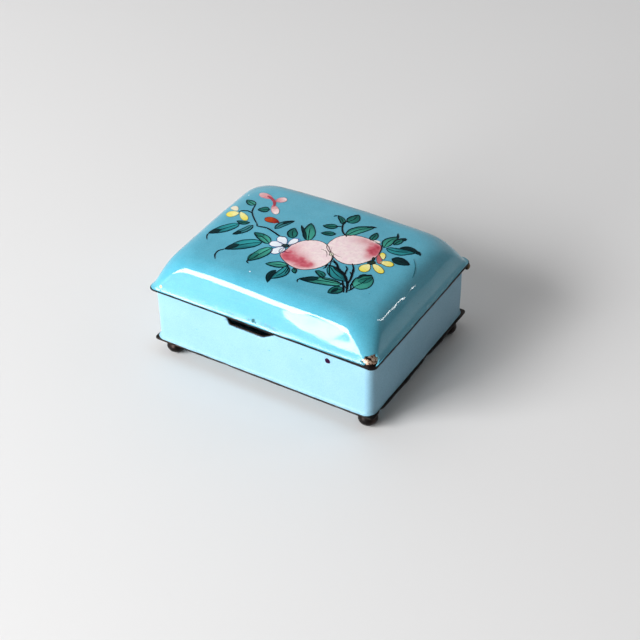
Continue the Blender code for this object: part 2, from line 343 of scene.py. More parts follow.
class Shader:
    """A Principled material with a few short ways to add nodes to it."""

    def __init__(self, name, **constants):
        self.material = bpy.data.materials.new(name)
        self.material.use_nodes = True
        self.tree = self.material.node_tree
        self.sockets = self.tree.nodes["Principled BSDF"].inputs
        for key, value in constants.items():
            self.sockets[key.replace("_", " ")].default_value = value
        self.place = self.node("ShaderNodeTexCoord", {}).outputs["Object"]

    def node(self, kind, inputs, **settings):
        return add_node(self.tree, kind, inputs, **settings)

    def ramp(self, value, stops):
        return add_ramp(self.tree, value, stops)

    def height(self):
        """Height above the surface that the box stands on."""
        return self.node("ShaderNodeSeparateXYZ", {"Vector": self.place}).outputs["Z"]

    def noise(self, size, detail=3.0, roughness=0.55):
        """Noise whose features are about a size across."""
        inputs = {"Scale": 1 / size, "Detail": detail, "Roughness": roughness, "Vector": self.place}
        return self.node("ShaderNodeTexNoise", inputs).outputs["Fac"]

    def dots(self, spacing, radius, share, shift=0.0):
        """1 inside scattered round dots, 0 elsewhere; only a share of the cells holds a dot."""
        moved = self.node("ShaderNodeMapping", {"Vector": self.place, "Location": (shift, shift, shift)})
        cells = self.node("ShaderNodeTexVoronoi", {"Scale": 1 / spacing, "Vector": moved.outputs["Vector"]})
        near = self.ramp(cells.outputs["Distance"], ((0.0, 1.0), (radius / spacing, 0.0)))
        split = self.node("ShaderNodeSeparateColor", {"Color": cells.outputs["Color"]})
        chosen = self.ramp(split.outputs["Red"], ((1 - share, 0.0), (1 - share + 0.01, 1.0)))
        return self.math("MULTIPLY", near, chosen)

    def math(self, operation, first, second):
        return self.node("ShaderNodeMath", {0: first, 1: second}, operation=operation).outputs["Value"]

    def mix(self, share, first, second, blend="MIX"):
        inputs = {MIX_SHARE: share, MIX_FIRST: first, MIX_SECOND: second}
        return self.node("ShaderNodeMix", inputs, data_type="RGBA", blend_type=blend).outputs[MIX_RESULT]

    def bump(self, height, depth, before=None):
        """Raise the surface by a height of 0 to 1 times a depth in metres, on top of the bumps before."""
        inputs = {"Strength": 1.0, "Distance": depth, "Height": height}
        if before:
            inputs["Normal"] = before
        return self.node("ShaderNodeBump", inputs).outputs["Normal"]

    def finish(self, **links):
        """Feed the shader's own sockets and hand the material over."""
        for key, source in links.items():
            self.tree.links.new(source, self.sockets[key.replace("_", " ")])
        return self.material


def enamel_material(name, deep, pale, speck, edge, shine, gloss=0.05):
    """Opaque glossy enamel: cloudy colour, specks, pinholes, orange peel and a haze in the gloss.

    The edge is (colour, height, reach): the colour changes down to that height, and the gloss is worn there.
    The shine is (IOR of the hazy body, weight and IOR of the clear coat). The gloss is the coat's roughness.
    """
    edge_colour, edge_height, edge_reach = edge
    body_ior, coat_weight, coat_ior = shine
    shader = Shader(name, Roughness=0.48, IOR=body_ior, Coat_Weight=coat_weight, Coat_Roughness=gloss,
                    Coat_IOR=coat_ior)
    clouds = shader.noise(11 * MM, 4.0)
    tone = shader.ramp(clouds, ((0.32, deep), (0.68, pale)))
    above = shader.math("SUBTRACT", shader.height(), edge_height)
    # Towards the edge the tone blends to the edge colour; on the lid this paler colour is partly painted
    # light.
    nearness = shader.ramp(shader.math("DIVIDE", above, edge_reach), ((0.0, 1.0), (1.0, 0.0)))
    tone = shader.mix(nearness, tone, edge_colour)
    patches = shader.noise(3.2 * MM, 3.0)
    tone = shader.mix(0.22, tone, shader.ramp(patches, ((0.36, deep), (0.64, pale))))
    grain = shader.noise(0.9 * MM, 2.0)
    tone = shader.mix(0.12, tone, shader.ramp(grain, ((0.3, deep), (0.7, pale))))
    speckle = shader.ramp(shader.noise(0.3 * MM, 2.0, 0.7), ((0.3, 0.86), (0.6, 1.03)))
    tone = shader.mix(1.0, tone, speckle, "MULTIPLY")
    specks = shader.dots(2.6 * MM, 0.16 * MM, 0.22)
    tone = shader.mix(specks, tone, speck)
    bubbles = shader.dots(4.2 * MM, 0.14 * MM, 0.16, shift=0.013)
    tone = shader.mix(shader.math("MULTIPLY", bubbles, 0.7), tone, (0.8, 0.9, 0.93))
    waves = shader.bump(shader.noise(6.0 * MM, 1.0), 0.026 * MM)
    peel = shader.bump(shader.noise(0.7 * MM, 1.0), 0.0018 * MM, waves)
    worn = shader.ramp(shader.noise(2.2 * MM, 4.0, 0.7), ((0.44, 0.0), (0.56, 1.0)))
    low = shader.ramp(shader.math("DIVIDE", above, 2.4 * MM), ((0.3, 1.0), (1.0, 0.0)))
    scuffs = shader.math("MULTIPLY", shader.math("MULTIPLY", worn, low), shader.noise(0.35 * MM, 3.0))
    scuffed = shader.bump(scuffs, 0.05 * MM, peel)
    pits = shader.bump(specks, -0.03 * MM, scuffed)
    return shader.finish(Base_Color=tone, Normal=peel, Coat_Normal=pits)


def copper_material(name, dark, warm, bright, roughness=0.38, chip_tint=None):
    """Oxidised copper: blotchy brown, brighter where it is rubbed, with hammer and file marks."""
    shader = Shader(name, Roughness=roughness, Metallic=0.8)
    blotches = shader.noise(2.4 * MM, 5.0, 0.62)
    tone = shader.ramp(blotches, ((0.3, dark), (0.55, warm), (0.8, bright)))
    grime = shader.ramp(shader.noise(0.6 * MM, 3.0), ((0.45, 0.0), (0.75, 1.0)))
    tone = shader.mix(shader.math("MULTIPLY", grime, 0.6), tone, dark)
    if chip_tint:
        tone = add_chip_tint(shader, tone, chip_tint)
    marks = shader.bump(shader.noise(1.1 * MM, 4.0), 0.05 * MM)
    fine = shader.bump(shader.noise(0.25 * MM, 2.0), 0.012 * MM, marks)
    dull = shader.ramp(blotches, ((0.3, roughness + 0.22), (0.8, roughness - 0.08)))
    return shader.finish(Base_Color=tone, Normal=fine, Roughness=dull)


def add_chip_tint(shader, tone, tint):
    """Raw reddish tan where the enamel has flaked off above the lip, with dark crumbs left in it and cream
    flecks that are partly its own pale colour, partly painted highlight.
    """
    crumb, chip_cream_and_highlight = (0.02, 0.01, 0.008), (0.84, 0.7, 0.58)
    above_lip = shader.math("GREATER_THAN", shader.height(), RIM_Z + 1.0 * MM)
    for middle, radii in CHIPS:
        ends = {0: shader.place, 1: LID_MIDDLE + middle}
        away = shader.node("ShaderNodeVectorMath", ends, operation="DISTANCE")
        share = shader.math("DIVIDE", away.outputs["Value"], 1.7 * max(radii))
        near = shader.math("MULTIPLY", shader.ramp(share, ((0.75, 1.0), (1.0, 0.0))), above_lip)
        grit = shader.noise(0.9 * MM, 3.0, 0.6)
        # The cream flecks are partly painted highlight on the chip's broken surface.
        crumbs = shader.ramp(grit, ((0.42, crumb), (0.49, tint), (0.6, chip_cream_and_highlight)))
        tone = shader.mix(near, tone, crumbs)
    return tone


def paint_material():
    """Overglaze colour: the tone is painted on the mesh, streaked by the brush and glossy from firing."""
    shader = Shader("overglaze_paint", Roughness=0.2, IOR=1.25, Specular_IOR_Level=0.14)
    painted = shader.node("ShaderNodeVertexColor", {}, layer_name="paint")
    streaks = shader.ramp(shader.noise(0.7 * MM), ((0.25, 0.92), (0.75, 1.06)))
    tone = shader.mix(1.0, painted.outputs["Color"], streaks, "MULTIPLY")
    return shader.finish(Base_Color=tone, Normal=shader.bump(shader.noise(0.5 * MM, 2.0), 0.012 * MM))


def chipped_edge_material():
    """The broken edge of the coat: chalky enamel with brown stains."""
    stained, chalky = (0.3, 0.24, 0.2), (0.74, 0.8, 0.8)
    shader = Shader("broken_enamel", Roughness=0.55)
    tone = shader.ramp(shader.noise(0.5 * MM), ((0.3, stained), (0.6, chalky)))
    return shader.finish(Base_Color=tone, Normal=shader.bump(shader.noise(0.3 * MM, 2.0), 0.03 * MM))


def make_materials():
    return {
        # The lid's coat turns paler towards the lip over its whole slope: partly the enamel's own tone,
        # partly painted light standing for the bright haze on its lit slopes.
        "sky_enamel": enamel_material(
            "sky_enamel", (0.034, 0.31, 0.44), (0.068, 0.38, 0.52), (0.01, 0.1, 0.13),
            edge=((0.135, 0.43, 0.55), RIM_Z + 1.0 * MM, 12 * MM), shine=(1.18, 1.0, 1.48)),
        "wall_enamel": enamel_material(
            "wall_sky_enamel", (0.24, 0.455, 0.585), (0.28, 0.5, 0.63), (0.08, 0.28, 0.38),
            edge=((0.26, 0.48, 0.6), FLANGE_Z, 2.5 * MM), shine=(1.15, 0.5, 1.36)),
        "lining": enamel_material(
            "lining_enamel", (0.23, 0.45, 0.55), (0.31, 0.53, 0.62), (0.1, 0.26, 0.32),
            edge=((0.17, 0.38, 0.47), FLANGE_Z, 2.0 * MM), shine=(1.3, 0.8, 1.4), gloss=0.16),
        "copper": copper_material(
            "lid_copper", (0.006, 0.004, 0.004), (0.013, 0.008, 0.007), (0.06, 0.03, 0.022),
            chip_tint=(0.58, 0.36, 0.24)),
        "tray_copper": copper_material(
            "tray_copper", (0.006, 0.005, 0.005), (0.015, 0.01, 0.008), (0.08, 0.05, 0.032)),
        "foot_copper": copper_material(
            "foot_copper", (0.004, 0.003, 0.003), (0.01, 0.006, 0.005), (0.055, 0.025, 0.018), 0.3),
        "hinge_copper": copper_material(
            "hinge_copper", (0.008, 0.006, 0.006), (0.025, 0.016, 0.012), (0.12, 0.075, 0.045), 0.34),
        "pin": copper_material("pin_brass", (0.05, 0.03, 0.015), (0.2, 0.13, 0.06), (0.45, 0.32, 0.15)),
        "paint": paint_material(),
        "broken": chipped_edge_material(),
    }


# ================ lid
def bezier(points, share):
    """A point on the cubic curve with four control points."""
    rest = 1 - share
    weights = (rest**3, 3 * rest**2 * share, 3 * rest * share**2, share**3)
    return sum((weight * point for weight, point in zip(weights, points)), Vector((0, 0)))


def lid_profile():
    """The lid's enamelled outside from lip to shoulder, as (inset, height) points."""
    lean = Vector((COVE_LEAN, 1)).normalized()
    foot = Vector((COVE_INSET, COVE_HEIGHT))
    cove = (
        Vector((0.1 * MM, LIP_TOP)),
        Vector((0.42 * MM, LIP_TOP + 0.28 * MM)),
        foot - lean * COVE_HEIGHT * 0.5,
        foot,
    )
    shoulder = (
        foot,
        foot + lean * SHOULDER_PULL_UP,
        Vector((SHOULDER_INSET - SHOULDER_PULL_IN, LID_RISE)),
        Vector((SHOULDER_INSET, LID_RISE)),
    )
    points = [bezier(cove, step / COVE_STEPS) for step in range(COVE_STEPS)]
    points += [bezier(shoulder, step / SHOULDER_STEPS) for step in range(SHOULDER_STEPS + 1)]
    return points


def offset_profile(depth):
    """The lid's profile moved square to itself, into the lid."""
    points = lid_profile()
    moved = []
    for i, point in enumerate(points):
        along = (points[min(i + 1, len(points) - 1)] - points[max(i - 1, 0)]).normalized()
        moved.append(point + Vector((along.y, -along.x)) * depth)
    return moved


def lid_ring(inset, height, depth=0.0):
    """One level of the lid. Its corners grow rounder with height, and it drops towards its ends and sides."""
    share = clamp(height / LID_RISE, 0.0, 1.0)
    radius = LIP_CORNER + (SHOULDER_CORNER - LIP_CORNER) * share - depth * (1 - share)
    radius = min(radius, HALF_DEPTH - inset - SEAM)
    ring = rounded_rectangle(inset, radius, RIM_Z + height)
    for point in ring:
        end = (point.x / HALF_LENGTH) ** 2
        side = ((point.y - MIDDLE_Y) / HALF_DEPTH) ** 2
        point.z -= share * (END_DROP * end + SIDE_DROP * side)
    return [uneven(point) for point in ring]


def lid_skin(depth, lowest=-1.0):
    """Rings of the lid's surface at a depth, from a lowest height up to a narrow slot along its middle."""
    points = [point for point in offset_profile(depth) if point.y > lowest]
    rings = [lid_ring(point.x, point.y, depth) for point in points]
    start = points[-1]
    last_inset = HALF_DEPTH - 0.08 * MM
    for step in range(1, TOP_RINGS + 1):
        inset = start.x + (last_inset - start.x) * step / TOP_RINGS
        rings.append(lid_ring(inset, start.y, depth))
    return rings


def chip_cutter(middle, radii, seed):
    """A jagged lump, the size of the flake that has come off."""
    shape = bmesh.new()
    bmesh.ops.create_icosphere(shape, subdivisions=3, radius=1.0)
    for vertex in shape.verts:
        rough = 1 + 0.45 * noise.noise(vertex.co * 1.9 + Vector((seed, 0, 0)))
        rough += 0.3 * noise.noise(vertex.co * 4.2 + Vector((0, seed, 0)))
        vertex.co = Vector(a * b for a, b in zip(vertex.co * rough, radii))
        vertex.co += LID_MIDDLE + middle
    mesh = bpy.data.meshes.new("chip")
    shape.to_mesh(mesh)
    shape.free()
    return new_object("chip", mesh, MATERIALS["broken"])


def make_lid_enamel():
    """The lid's coat, ragged at the lip and chipped. The surface returned is the whole one, without chips."""
    outer = lid_skin(0.0)
    for level, amount in enumerate((0.1, 0.06, 0.03)):
        outer[level] = ragged(outer[level], amount * MM, seed=3.0)
    lip = [ragged(lid_ring(0.14 * MM, height), 0.1 * MM, seed=3.0) for height in (0.7 * MM, 0.6 * MM)]
    # The coat's lower edge is lifted so a wider band of dark copper shows, partly as painted shade for the
    # gap under the lip.
    for ring, share in zip(lip + outer, (1.0, 1.0, 1.0, 0.75, 0.4)):
        for point in ring:
            point.z += share * bare_copper_and_gap_shade(point)
    inner = lid_skin(COAT)
    piece = loft("lid_enamel_coat", outer[::-1] + lip + inner, MATERIALS["sky_enamel"], sharp_above=55)
    surface = BVHTree.FromObject(piece, bpy.context.evaluated_depsgraph_get())
    for seed, (middle, radii) in enumerate(CHIPS):
        boolean_cut(piece, chip_cutter(middle, radii, 3.0 + seed))
    stand_in(piece, "lid_enamel", "lid")
    return surface


def bare_copper_and_gap_shade(point):
    """How much more dark copper shows at the lip, on the right-hand side and most at the near corner: partly
    bare copper, partly painted shade standing for the dark gap under the lip.
    """
    away = (point.xy - Vector((HALF_LENGTH, MIDDLE_Y - HALF_DEPTH))).length
    side = clamp((point.x - 6 * MM) / (30 * MM), 0, 1)
    corner = math.exp(-((away / (8 * MM)) ** 2))
    raggedness = 0.5 + noise.noise(point / (2.2 * MM))
    return 0.3 * MM * side + 0.24 * MM * corner + 0.05 * MM * raggedness


def make_lid_copper():
    """The copper shell. Its lip rolls over from the bare top edge to a flat underside."""
    outer = lid_skin(COPPER_OUTER)
    inner = lid_skin(COPPER_INNER, 0.35 * MM)
    lip = []
    for inset, height in ((0.16, 0.54), (0.05, 0.58), (0.0, 0.5), (0.0, 0.12), (0.07, 0.0)):
        lip.append(ragged(lid_ring(inset * MM, height * MM), 0.07 * MM, 1.6 * MM, seed=8.0))
    # The copper's top edge is lifted with the coat's, widening the dark band that partly stands for shade
    # under the lip.
    for ring in lip[:3]:
        for point in ring:
            point.z += bare_copper_and_gap_shade(point)
    lip.append(lid_ring(COVE_INSET + 0.5 * MM, 0.0))
    piece = loft("lid_copper_shell", outer[::-1] + lip + inner, MATERIALS["copper"])
    stand_in(piece, "lid_shell", "lid")


def make_lid_lining():
    low = 0.7 * MM
    outer = lid_skin(LINING_OUTER, low)
    inner = lid_skin(LINING_INNER, low)
    piece = loft("lid_lining_coat", outer[::-1] + inner, MATERIALS["lining"])
    stand_in(piece, "lid_lining_enamel", "lid")


# ================ tray
def wall_ring(inset, height):
    """One level of the walls, this far in from the lid's lip."""
    radius = max(WALL_CORNER - (inset - WALL_INSET), SMALLEST_CORNER)
    ring = rounded_rectangle(inset, radius, height)
    return [uneven(point) for point in ring]


def wall_levels(inset, low, high, steps=14):
    """Rings of a wall from one height to another."""
    return [wall_ring(inset, low + (high - low) * step / steps) for step in range(steps + 1)]


def notch_cutter(margin, waver, seed):
    """A slot through the front wall with slanting ends, softened corners and a filed, wavy edge."""
    front = MIDDLE_Y - HALF_DEPTH
    floor_z = WALL_TOP_Z - NOTCH_DEPTH - margin
    above = 1 * MM
    spacing = 0.4 * MM
    run_left = (NOTCH_FLOOR[0] - NOTCH_TOP[0]) * above / NOTCH_DEPTH
    run_right = (NOTCH_TOP[1] - NOTCH_FLOOR[1]) * above / NOTCH_DEPTH
    corners = (
        Vector((NOTCH_TOP[0] - run_left - margin, 0, WALL_TOP_Z + above)),
        Vector((NOTCH_FLOOR[0] - margin, 0, floor_z)),
        Vector((NOTCH_FLOOR[1] + margin, 0, floor_z)),
        Vector((NOTCH_TOP[1] + run_right + margin, 0, WALL_TOP_Z + above)),
    )
    softened = []
    for start, end in zip(corners, corners[1:]):
        steps = max(4, round((end - start).length / spacing))
        softened += [start.lerp(end, step / steps) for step in range(steps)]
    softened.append(corners[-1])
    for _ in range(2):
        middles = [(a + 2 * b + c) / 4 for a, b, c in zip(softened, softened[1:], softened[2:])]
        softened = [softened[0]] + middles + [softened[-1]]
    rough = []
    for point in softened:
        lift = noise.noise(point / (0.9 * MM) + Vector((seed, 0, 0)))
        rough.append(point + Vector((0.4 * lift, 0, lift)) * waver)
    rings = [[point + Vector((0, front + y, 0)) for point in rough] for y in (-2 * MM, 6 * MM)]
    return loft("notch", rings)


def make_wall_copper():
    """The copper band, with its top edge rounded over."""
    outer = WALL_INSET + COPPER_OUTER
    inner = WALL_INSET + COPPER_INNER
    low = FLANGE_Z + SEAM
    ease = 0.08 * MM
    rings = wall_levels(outer, low, WALL_TOP_Z - ease)
    rings += [wall_ring(outer + ease, WALL_TOP_Z), wall_ring(inner - ease, WALL_TOP_Z)]
    rings += wall_levels(inner, WALL_TOP_Z - ease, low)
    piece = loft("wall_copper_band", rings, MATERIALS["tray_copper"], closed=True)
    boolean_cut(piece, notch_cutter(0.0, 0.05 * MM, 1.0))
    stand_in(piece, "wall_band", "tray")


def make_wall_enamel():
    """The outer coat: its foot spreads on to the plate, least on the right, and its top edge is round. The
    wider dark copper left bare on the right stands partly for painted shade under the plate's edge.
    """
    low = FLANGE_Z + SEAM
    foot = ((-0.68, 0.0), (-0.6, 0.1), (-0.36, 0.24), (-0.14, 0.44), (-0.04, 0.78))
    rings = []
    for level, (shift, rise) in enumerate(foot):
        ring = wall_ring(WALL_INSET + shift * MM, low + rise * MM)
        for point in ring:
            # Drawn back on the right: more dark copper shows, partly bare plate, partly painted shade under
            # its edge.
            right_side = clamp((point.x - HALF_LENGTH + 4 * MM) / (2 * MM), 0, 1)
            point.x += 0.62 * shift * MM * right_side
        rings.append(ragged(ring, 0.09 * MM * (1 - level / len(foot)), 3 * MM, seed=5.0))
    rings += wall_levels(WALL_INSET, low + 1.2 * MM, COAT_TOP_Z - 0.3 * MM, 16)
    for shift, drop in ((0.03, 0.14), (0.1, 0.04), (0.2, 0.0), (COAT / MM, 0.06)):
        ring = wall_ring(WALL_INSET + shift * MM, COAT_TOP_Z - drop * MM)
        rings.append(ragged(ring, 0.03 * MM, seed=6.0))
    rings += wall_levels(WALL_INSET + COAT, COAT_TOP_Z - 0.3 * MM, low, 6)
    piece = loft("wall_enamel_coat", rings, MATERIALS["wall_enamel"], closed=True, sharp_above=60)
    surface = BVHTree.FromObject(piece, bpy.context.evaluated_depsgraph_get())
    boolean_cut(piece, notch_cutter(0.22 * MM, 0.12 * MM, 2.0))
    boolean_cut(piece, bearer_relief())
    stand_in(piece, "wall_enamel", "tray")
    return surface


def bearer_relief():
    """The bare stretch at the top of the rear wall, where the hinge's lower strip lies."""
    margin = 0.12 * MM
    left, right = BEARER_LOW.x - margin, BEARER_HIGH.x + margin
    front, back = WALL_HIGH.y - 0.2 * MM, WALL_HIGH.y + 3 * MM
    corners = ((left, front), (right, front), (right, back), (left, back))
    levels = (BEARER_LOW.z - margin, RIM_Z + 1 * MM)
    return loft("relief", [[Vector((x, y, z)) for x, y in corners] for z in levels])


def make_wall_lining():
    outer = WALL_INSET + LINING_OUTER
    inner = WALL_INSET + LINING_INNER
    low = FLANGE_Z + SEAM
    shoulder = COAT_TOP_Z - 0.15 * MM
    rings = wall_levels(outer, low, shoulder, 8)
    rings += [wall_ring(outer + 0.1 * MM, COAT_TOP_Z), wall_ring(inner - 0.1 * MM, COAT_TOP_Z)]
    rings += wall_levels(inner, shoulder, low)
    piece = loft("wall_lining_coat", rings, MATERIALS["lining"], closed=True)
    boolean_cut(piece, notch_cutter(0.25 * MM, 0.1 * MM, 4.0))
    stand_in(piece, "wall_lining_enamel", "tray")


def make_floor_enamel():
    """The tray's floor, drawn up at the walls where the enamel has pooled."""
    gap = 0.03 * MM
    edge = WALL_INSET + LINING_INNER + gap
    low = FLANGE_Z + gap
    profile = [(0.0, 0.0), (0.0, 0.95), (0.08, 0.8), (0.22, 0.6), (0.5, 0.45), (1.0, 0.37)]
    profile += [(step * 2.0, 0.34) for step in range(1, 12)]
    rings = []
    for shift, rise in profile:
        radius = 0.4 * MM + 0.5 * min(shift, 3) * MM
        ring = rounded_rectangle(edge + shift * MM, radius, low + rise * MM)
        if rise:
            ring = [point + Vector((0, 0, 0.03 * MM * noise.noise(point / (6 * MM)))) for point in ring]
        rings.append(ring)
    piece = loft("floor_enamel_pool", rings, MATERIALS["lining"])
    stand_in(piece, "floor_enamel", "tray")


def make_bottom_plate():
    """The plate, sheared by hand: its bare edge wavers, and it is nicked here and bulges there."""
    rings = []
    for shift, rise in ((0.1, 0.0), (0.0, 0.08), (0.0, 0.5), (0.08, 0.6)):
        ring = rounded_rectangle(PLATE_INSET + shift * MM, PLATE_CORNER, PLATE_LOW.z + rise * MM)
        ring = ragged(ring, 0.09 * MM, 3.5 * MM, seed=9.0)
        rings.append([nicked(point) for point in ring])
    piece = loft("bottom_copper_plate", rings, MATERIALS["tray_copper"])
    stand_in(piece, "bottom_plate", "tray")


def nicked(point):
    """Move the plate's edge in at its nicks, and out where their depth is negative."""
    for x, y, depth, width in NICKS:
        away = math.hypot(point.x - x * MM, point.y - MIDDLE_Y - y * MM)
        push = depth * MM * math.exp(-((away / (width * MM)) ** 2))
        point = point - outward(Vector((point.x, point.y, RIM_Z))) * push
    return point


def refine(node, name, material, body):
    """A copy of a small CAD part stands for it, with softened edges and hand-worked dents."""
    mesh = frame["nodes"][node].data.copy()
    mesh.materials.clear()
    shape = bmesh.new()
    shape.from_mesh(mesh)
    bmesh.ops.remove_doubles(shape, verts=shape.verts, dist=WELD)
    inner = [edge for edge in shape.edges if len(edge.link_faces) == 2]
    flat = [edge for edge in inner if edge.calc_face_angle() < FLAT_ANGLE]
    bmesh.ops.dissolve_edges(shape, edges=flat, use_verts=False)
    long_edges = [edge for edge in shape.edges if edge.calc_length() > LONG_EDGE]
    bmesh.ops.subdivide_edges(shape, edges=long_edges, cuts=40, use_grid_fill=True)
    for vertex in shape.verts:
        vertex.co += 0.03 * MM * Vector(noise.noise_vector(vertex.co / (2.5 * MM)))
    shape.to_mesh(mesh)
    shape.free()
    smooth(mesh, 35)
    piece = new_object(name, mesh, material)
    rounding = piece.modifiers.new("softened_edges", "BEVEL")
    rounding.width = 0.09 * MM
    rounding.segments = 3
    rounding.limit_method = "ANGLE"
    rounding.angle_limit = math.radians(40)
    stand_in(piece, node, body)


def make_foot(node):
    """A cast ball foot with a fillet of solder at the plate and a worn, flat sole."""
    low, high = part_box(node)
    middle = (low + high) / 2
    height = high.z - low.z
    radius = (high.x - low.x) / 2
    profile = (
        (0.3, 0.0), (0.44, 0.012), (0.62, 0.075), (0.8, 0.2), (0.93, 0.35), (1.0, 0.52),
        (0.985, 0.66), (0.92, 0.79), (0.84, 0.89), (0.8, 0.945), (0.84, 0.985), (0.9, 1.0),
    )
    rings = []
    for share, rise in profile:
        ring = []
        for x, y in circle(40):
            point = Vector((share * radius * x, share * radius * y, rise * height))
            dent = noise.noise(point / (1.5 * MM) + middle * FOOT_SPREAD)
            point *= 1 + (0.035 * dent if rise > 0.05 else 0.0)
            point.z = clamp(point.z, 0.0, height)
            ring.append(point + Vector((middle.x, middle.y, low.z)))
        rings.append(ring)
    piece = loft(node + "_ball", rings, MATERIALS["foot_copper"], sharp_above=50)
    stand_in(piece, node, "tray")


def make_knuckle(node, body):
    """A length of drawn tube with rolled ends and a dented skin."""
    low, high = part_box(node)
    radius = (high.z - low.z) / 2
    bore = 0.58 * MM
    ease = 0.16 * MM
    straight = high.x - low.x - 2 * ease
    rolled = ((0.0, radius - ease), (0.4 * ease, radius - 0.3 * ease), (ease, radius))
    profile = [(low.x + along, r) for along, r in rolled]
    profile += [(low.x + ease + straight * step / 20, radius) for step in range(1, 20)]
    profile += [(high.x - along, r) for along, r in reversed(rolled)] + [(high.x, bore), (low.x, bore)]
    rings = []
    for x, r in profile:
        ring = []
        for y, z in circle(36):
            point = Vector((x, HINGE.y + r * y, HINGE.z + r * z))
            dent = 0.035 * MM * min(0.0, noise.noise(point / (1.3 * MM)))
            ring.append(point + Vector((0, y, z)) * (dent if r > bore else 0.0))
        rings.append(ring)
    piece = loft(node + "_tube", rings, MATERIALS["hinge_copper"], closed=True)
    stand_in(piece, node, body)


def make_pin():
    """The hinge wire, peened to a low dome at each end."""
    low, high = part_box("hinge_pin")
    head = (high.z - low.z) / 2
    wire = 0.5 * MM
    neck = 0.25 * MM
    curve = ((0.0, 0.25), (0.02, 0.5), (0.25, 0.82), (0.6, 0.98), (1.0, 1.0))
    dome = [(share * neck, head * r) for share, r in curve] + [(neck, wire)]
    profile = [(low.x + along, r) for along, r in dome]
    profile += [(high.x - along, r) for along, r in reversed(dome)]
    rings = [[Vector((x, HINGE.y + r * y, HINGE.z + r * z)) for y, z in circle(32)] for x, r in profile]
    piece = loft("hinge_wire", rings, MATERIALS["pin"])
    stand_in(piece, "hinge_pin", "tray")


# ================ painting
WASH, FOLD, FRUIT, PETAL, LINE = (lift * MM for lift in (0.03, 0.042, 0.054, 0.066, 0.08))
INK = (0.001, 0.004, 0.007)
LEAF_INK = (0.0, 0.012, 0.017)
TONES = {
    "light": ((0.055, 0.36, 0.28), (0.001, 0.06, 0.055)),
    "teal": ((0.026, 0.29, 0.32), (0.001, 0.045, 0.06)),
    "deep": ((0.016, 0.185, 0.155), (0.001, 0.028, 0.03)),
    "dark": ((0.001, 0.03, 0.034), (0.0, 0.006, 0.01)),
    "grey": ((0.04, 0.22, 0.25), (0.006, 0.09, 0.115)),
}


def blend(first, second, share):
    share = clamp(share, 0.0, 1.0)
    return tuple(a + (b - a) * share for a, b in zip(first, second))


def smooth_path(points, spacing=0.28):
    """A rounded path through plan points in millimetres, sampled about every spacing."""
    points = [Vector(point) for point in points]
    ends = [2 * points[0] - points[1]] + points + [2 * points[-1] - points[-2]]
    path = []
    for a, b, c, d in zip(ends, ends[1:], ends[2:], ends[3:]):
        steps = max(2, round((c - b).length / spacing))
        for step in range(steps):
            t = step / steps
            path.append(0.5 * ((2 * b) + (c - a) * t + (2 * a - 5 * b + 4 * c - d) * t**2
                               + (3 * b - a - 3 * c + d) * t**3))
    path.append(points[-1])
    return path


def sideways(path, i):
    along = path[min(i + 1, len(path) - 1)] - path[max(i - 1, 0)]
    along = along.normalized() if along.length else Vector((1, 0))
    return Vector((-along.y, along.x))


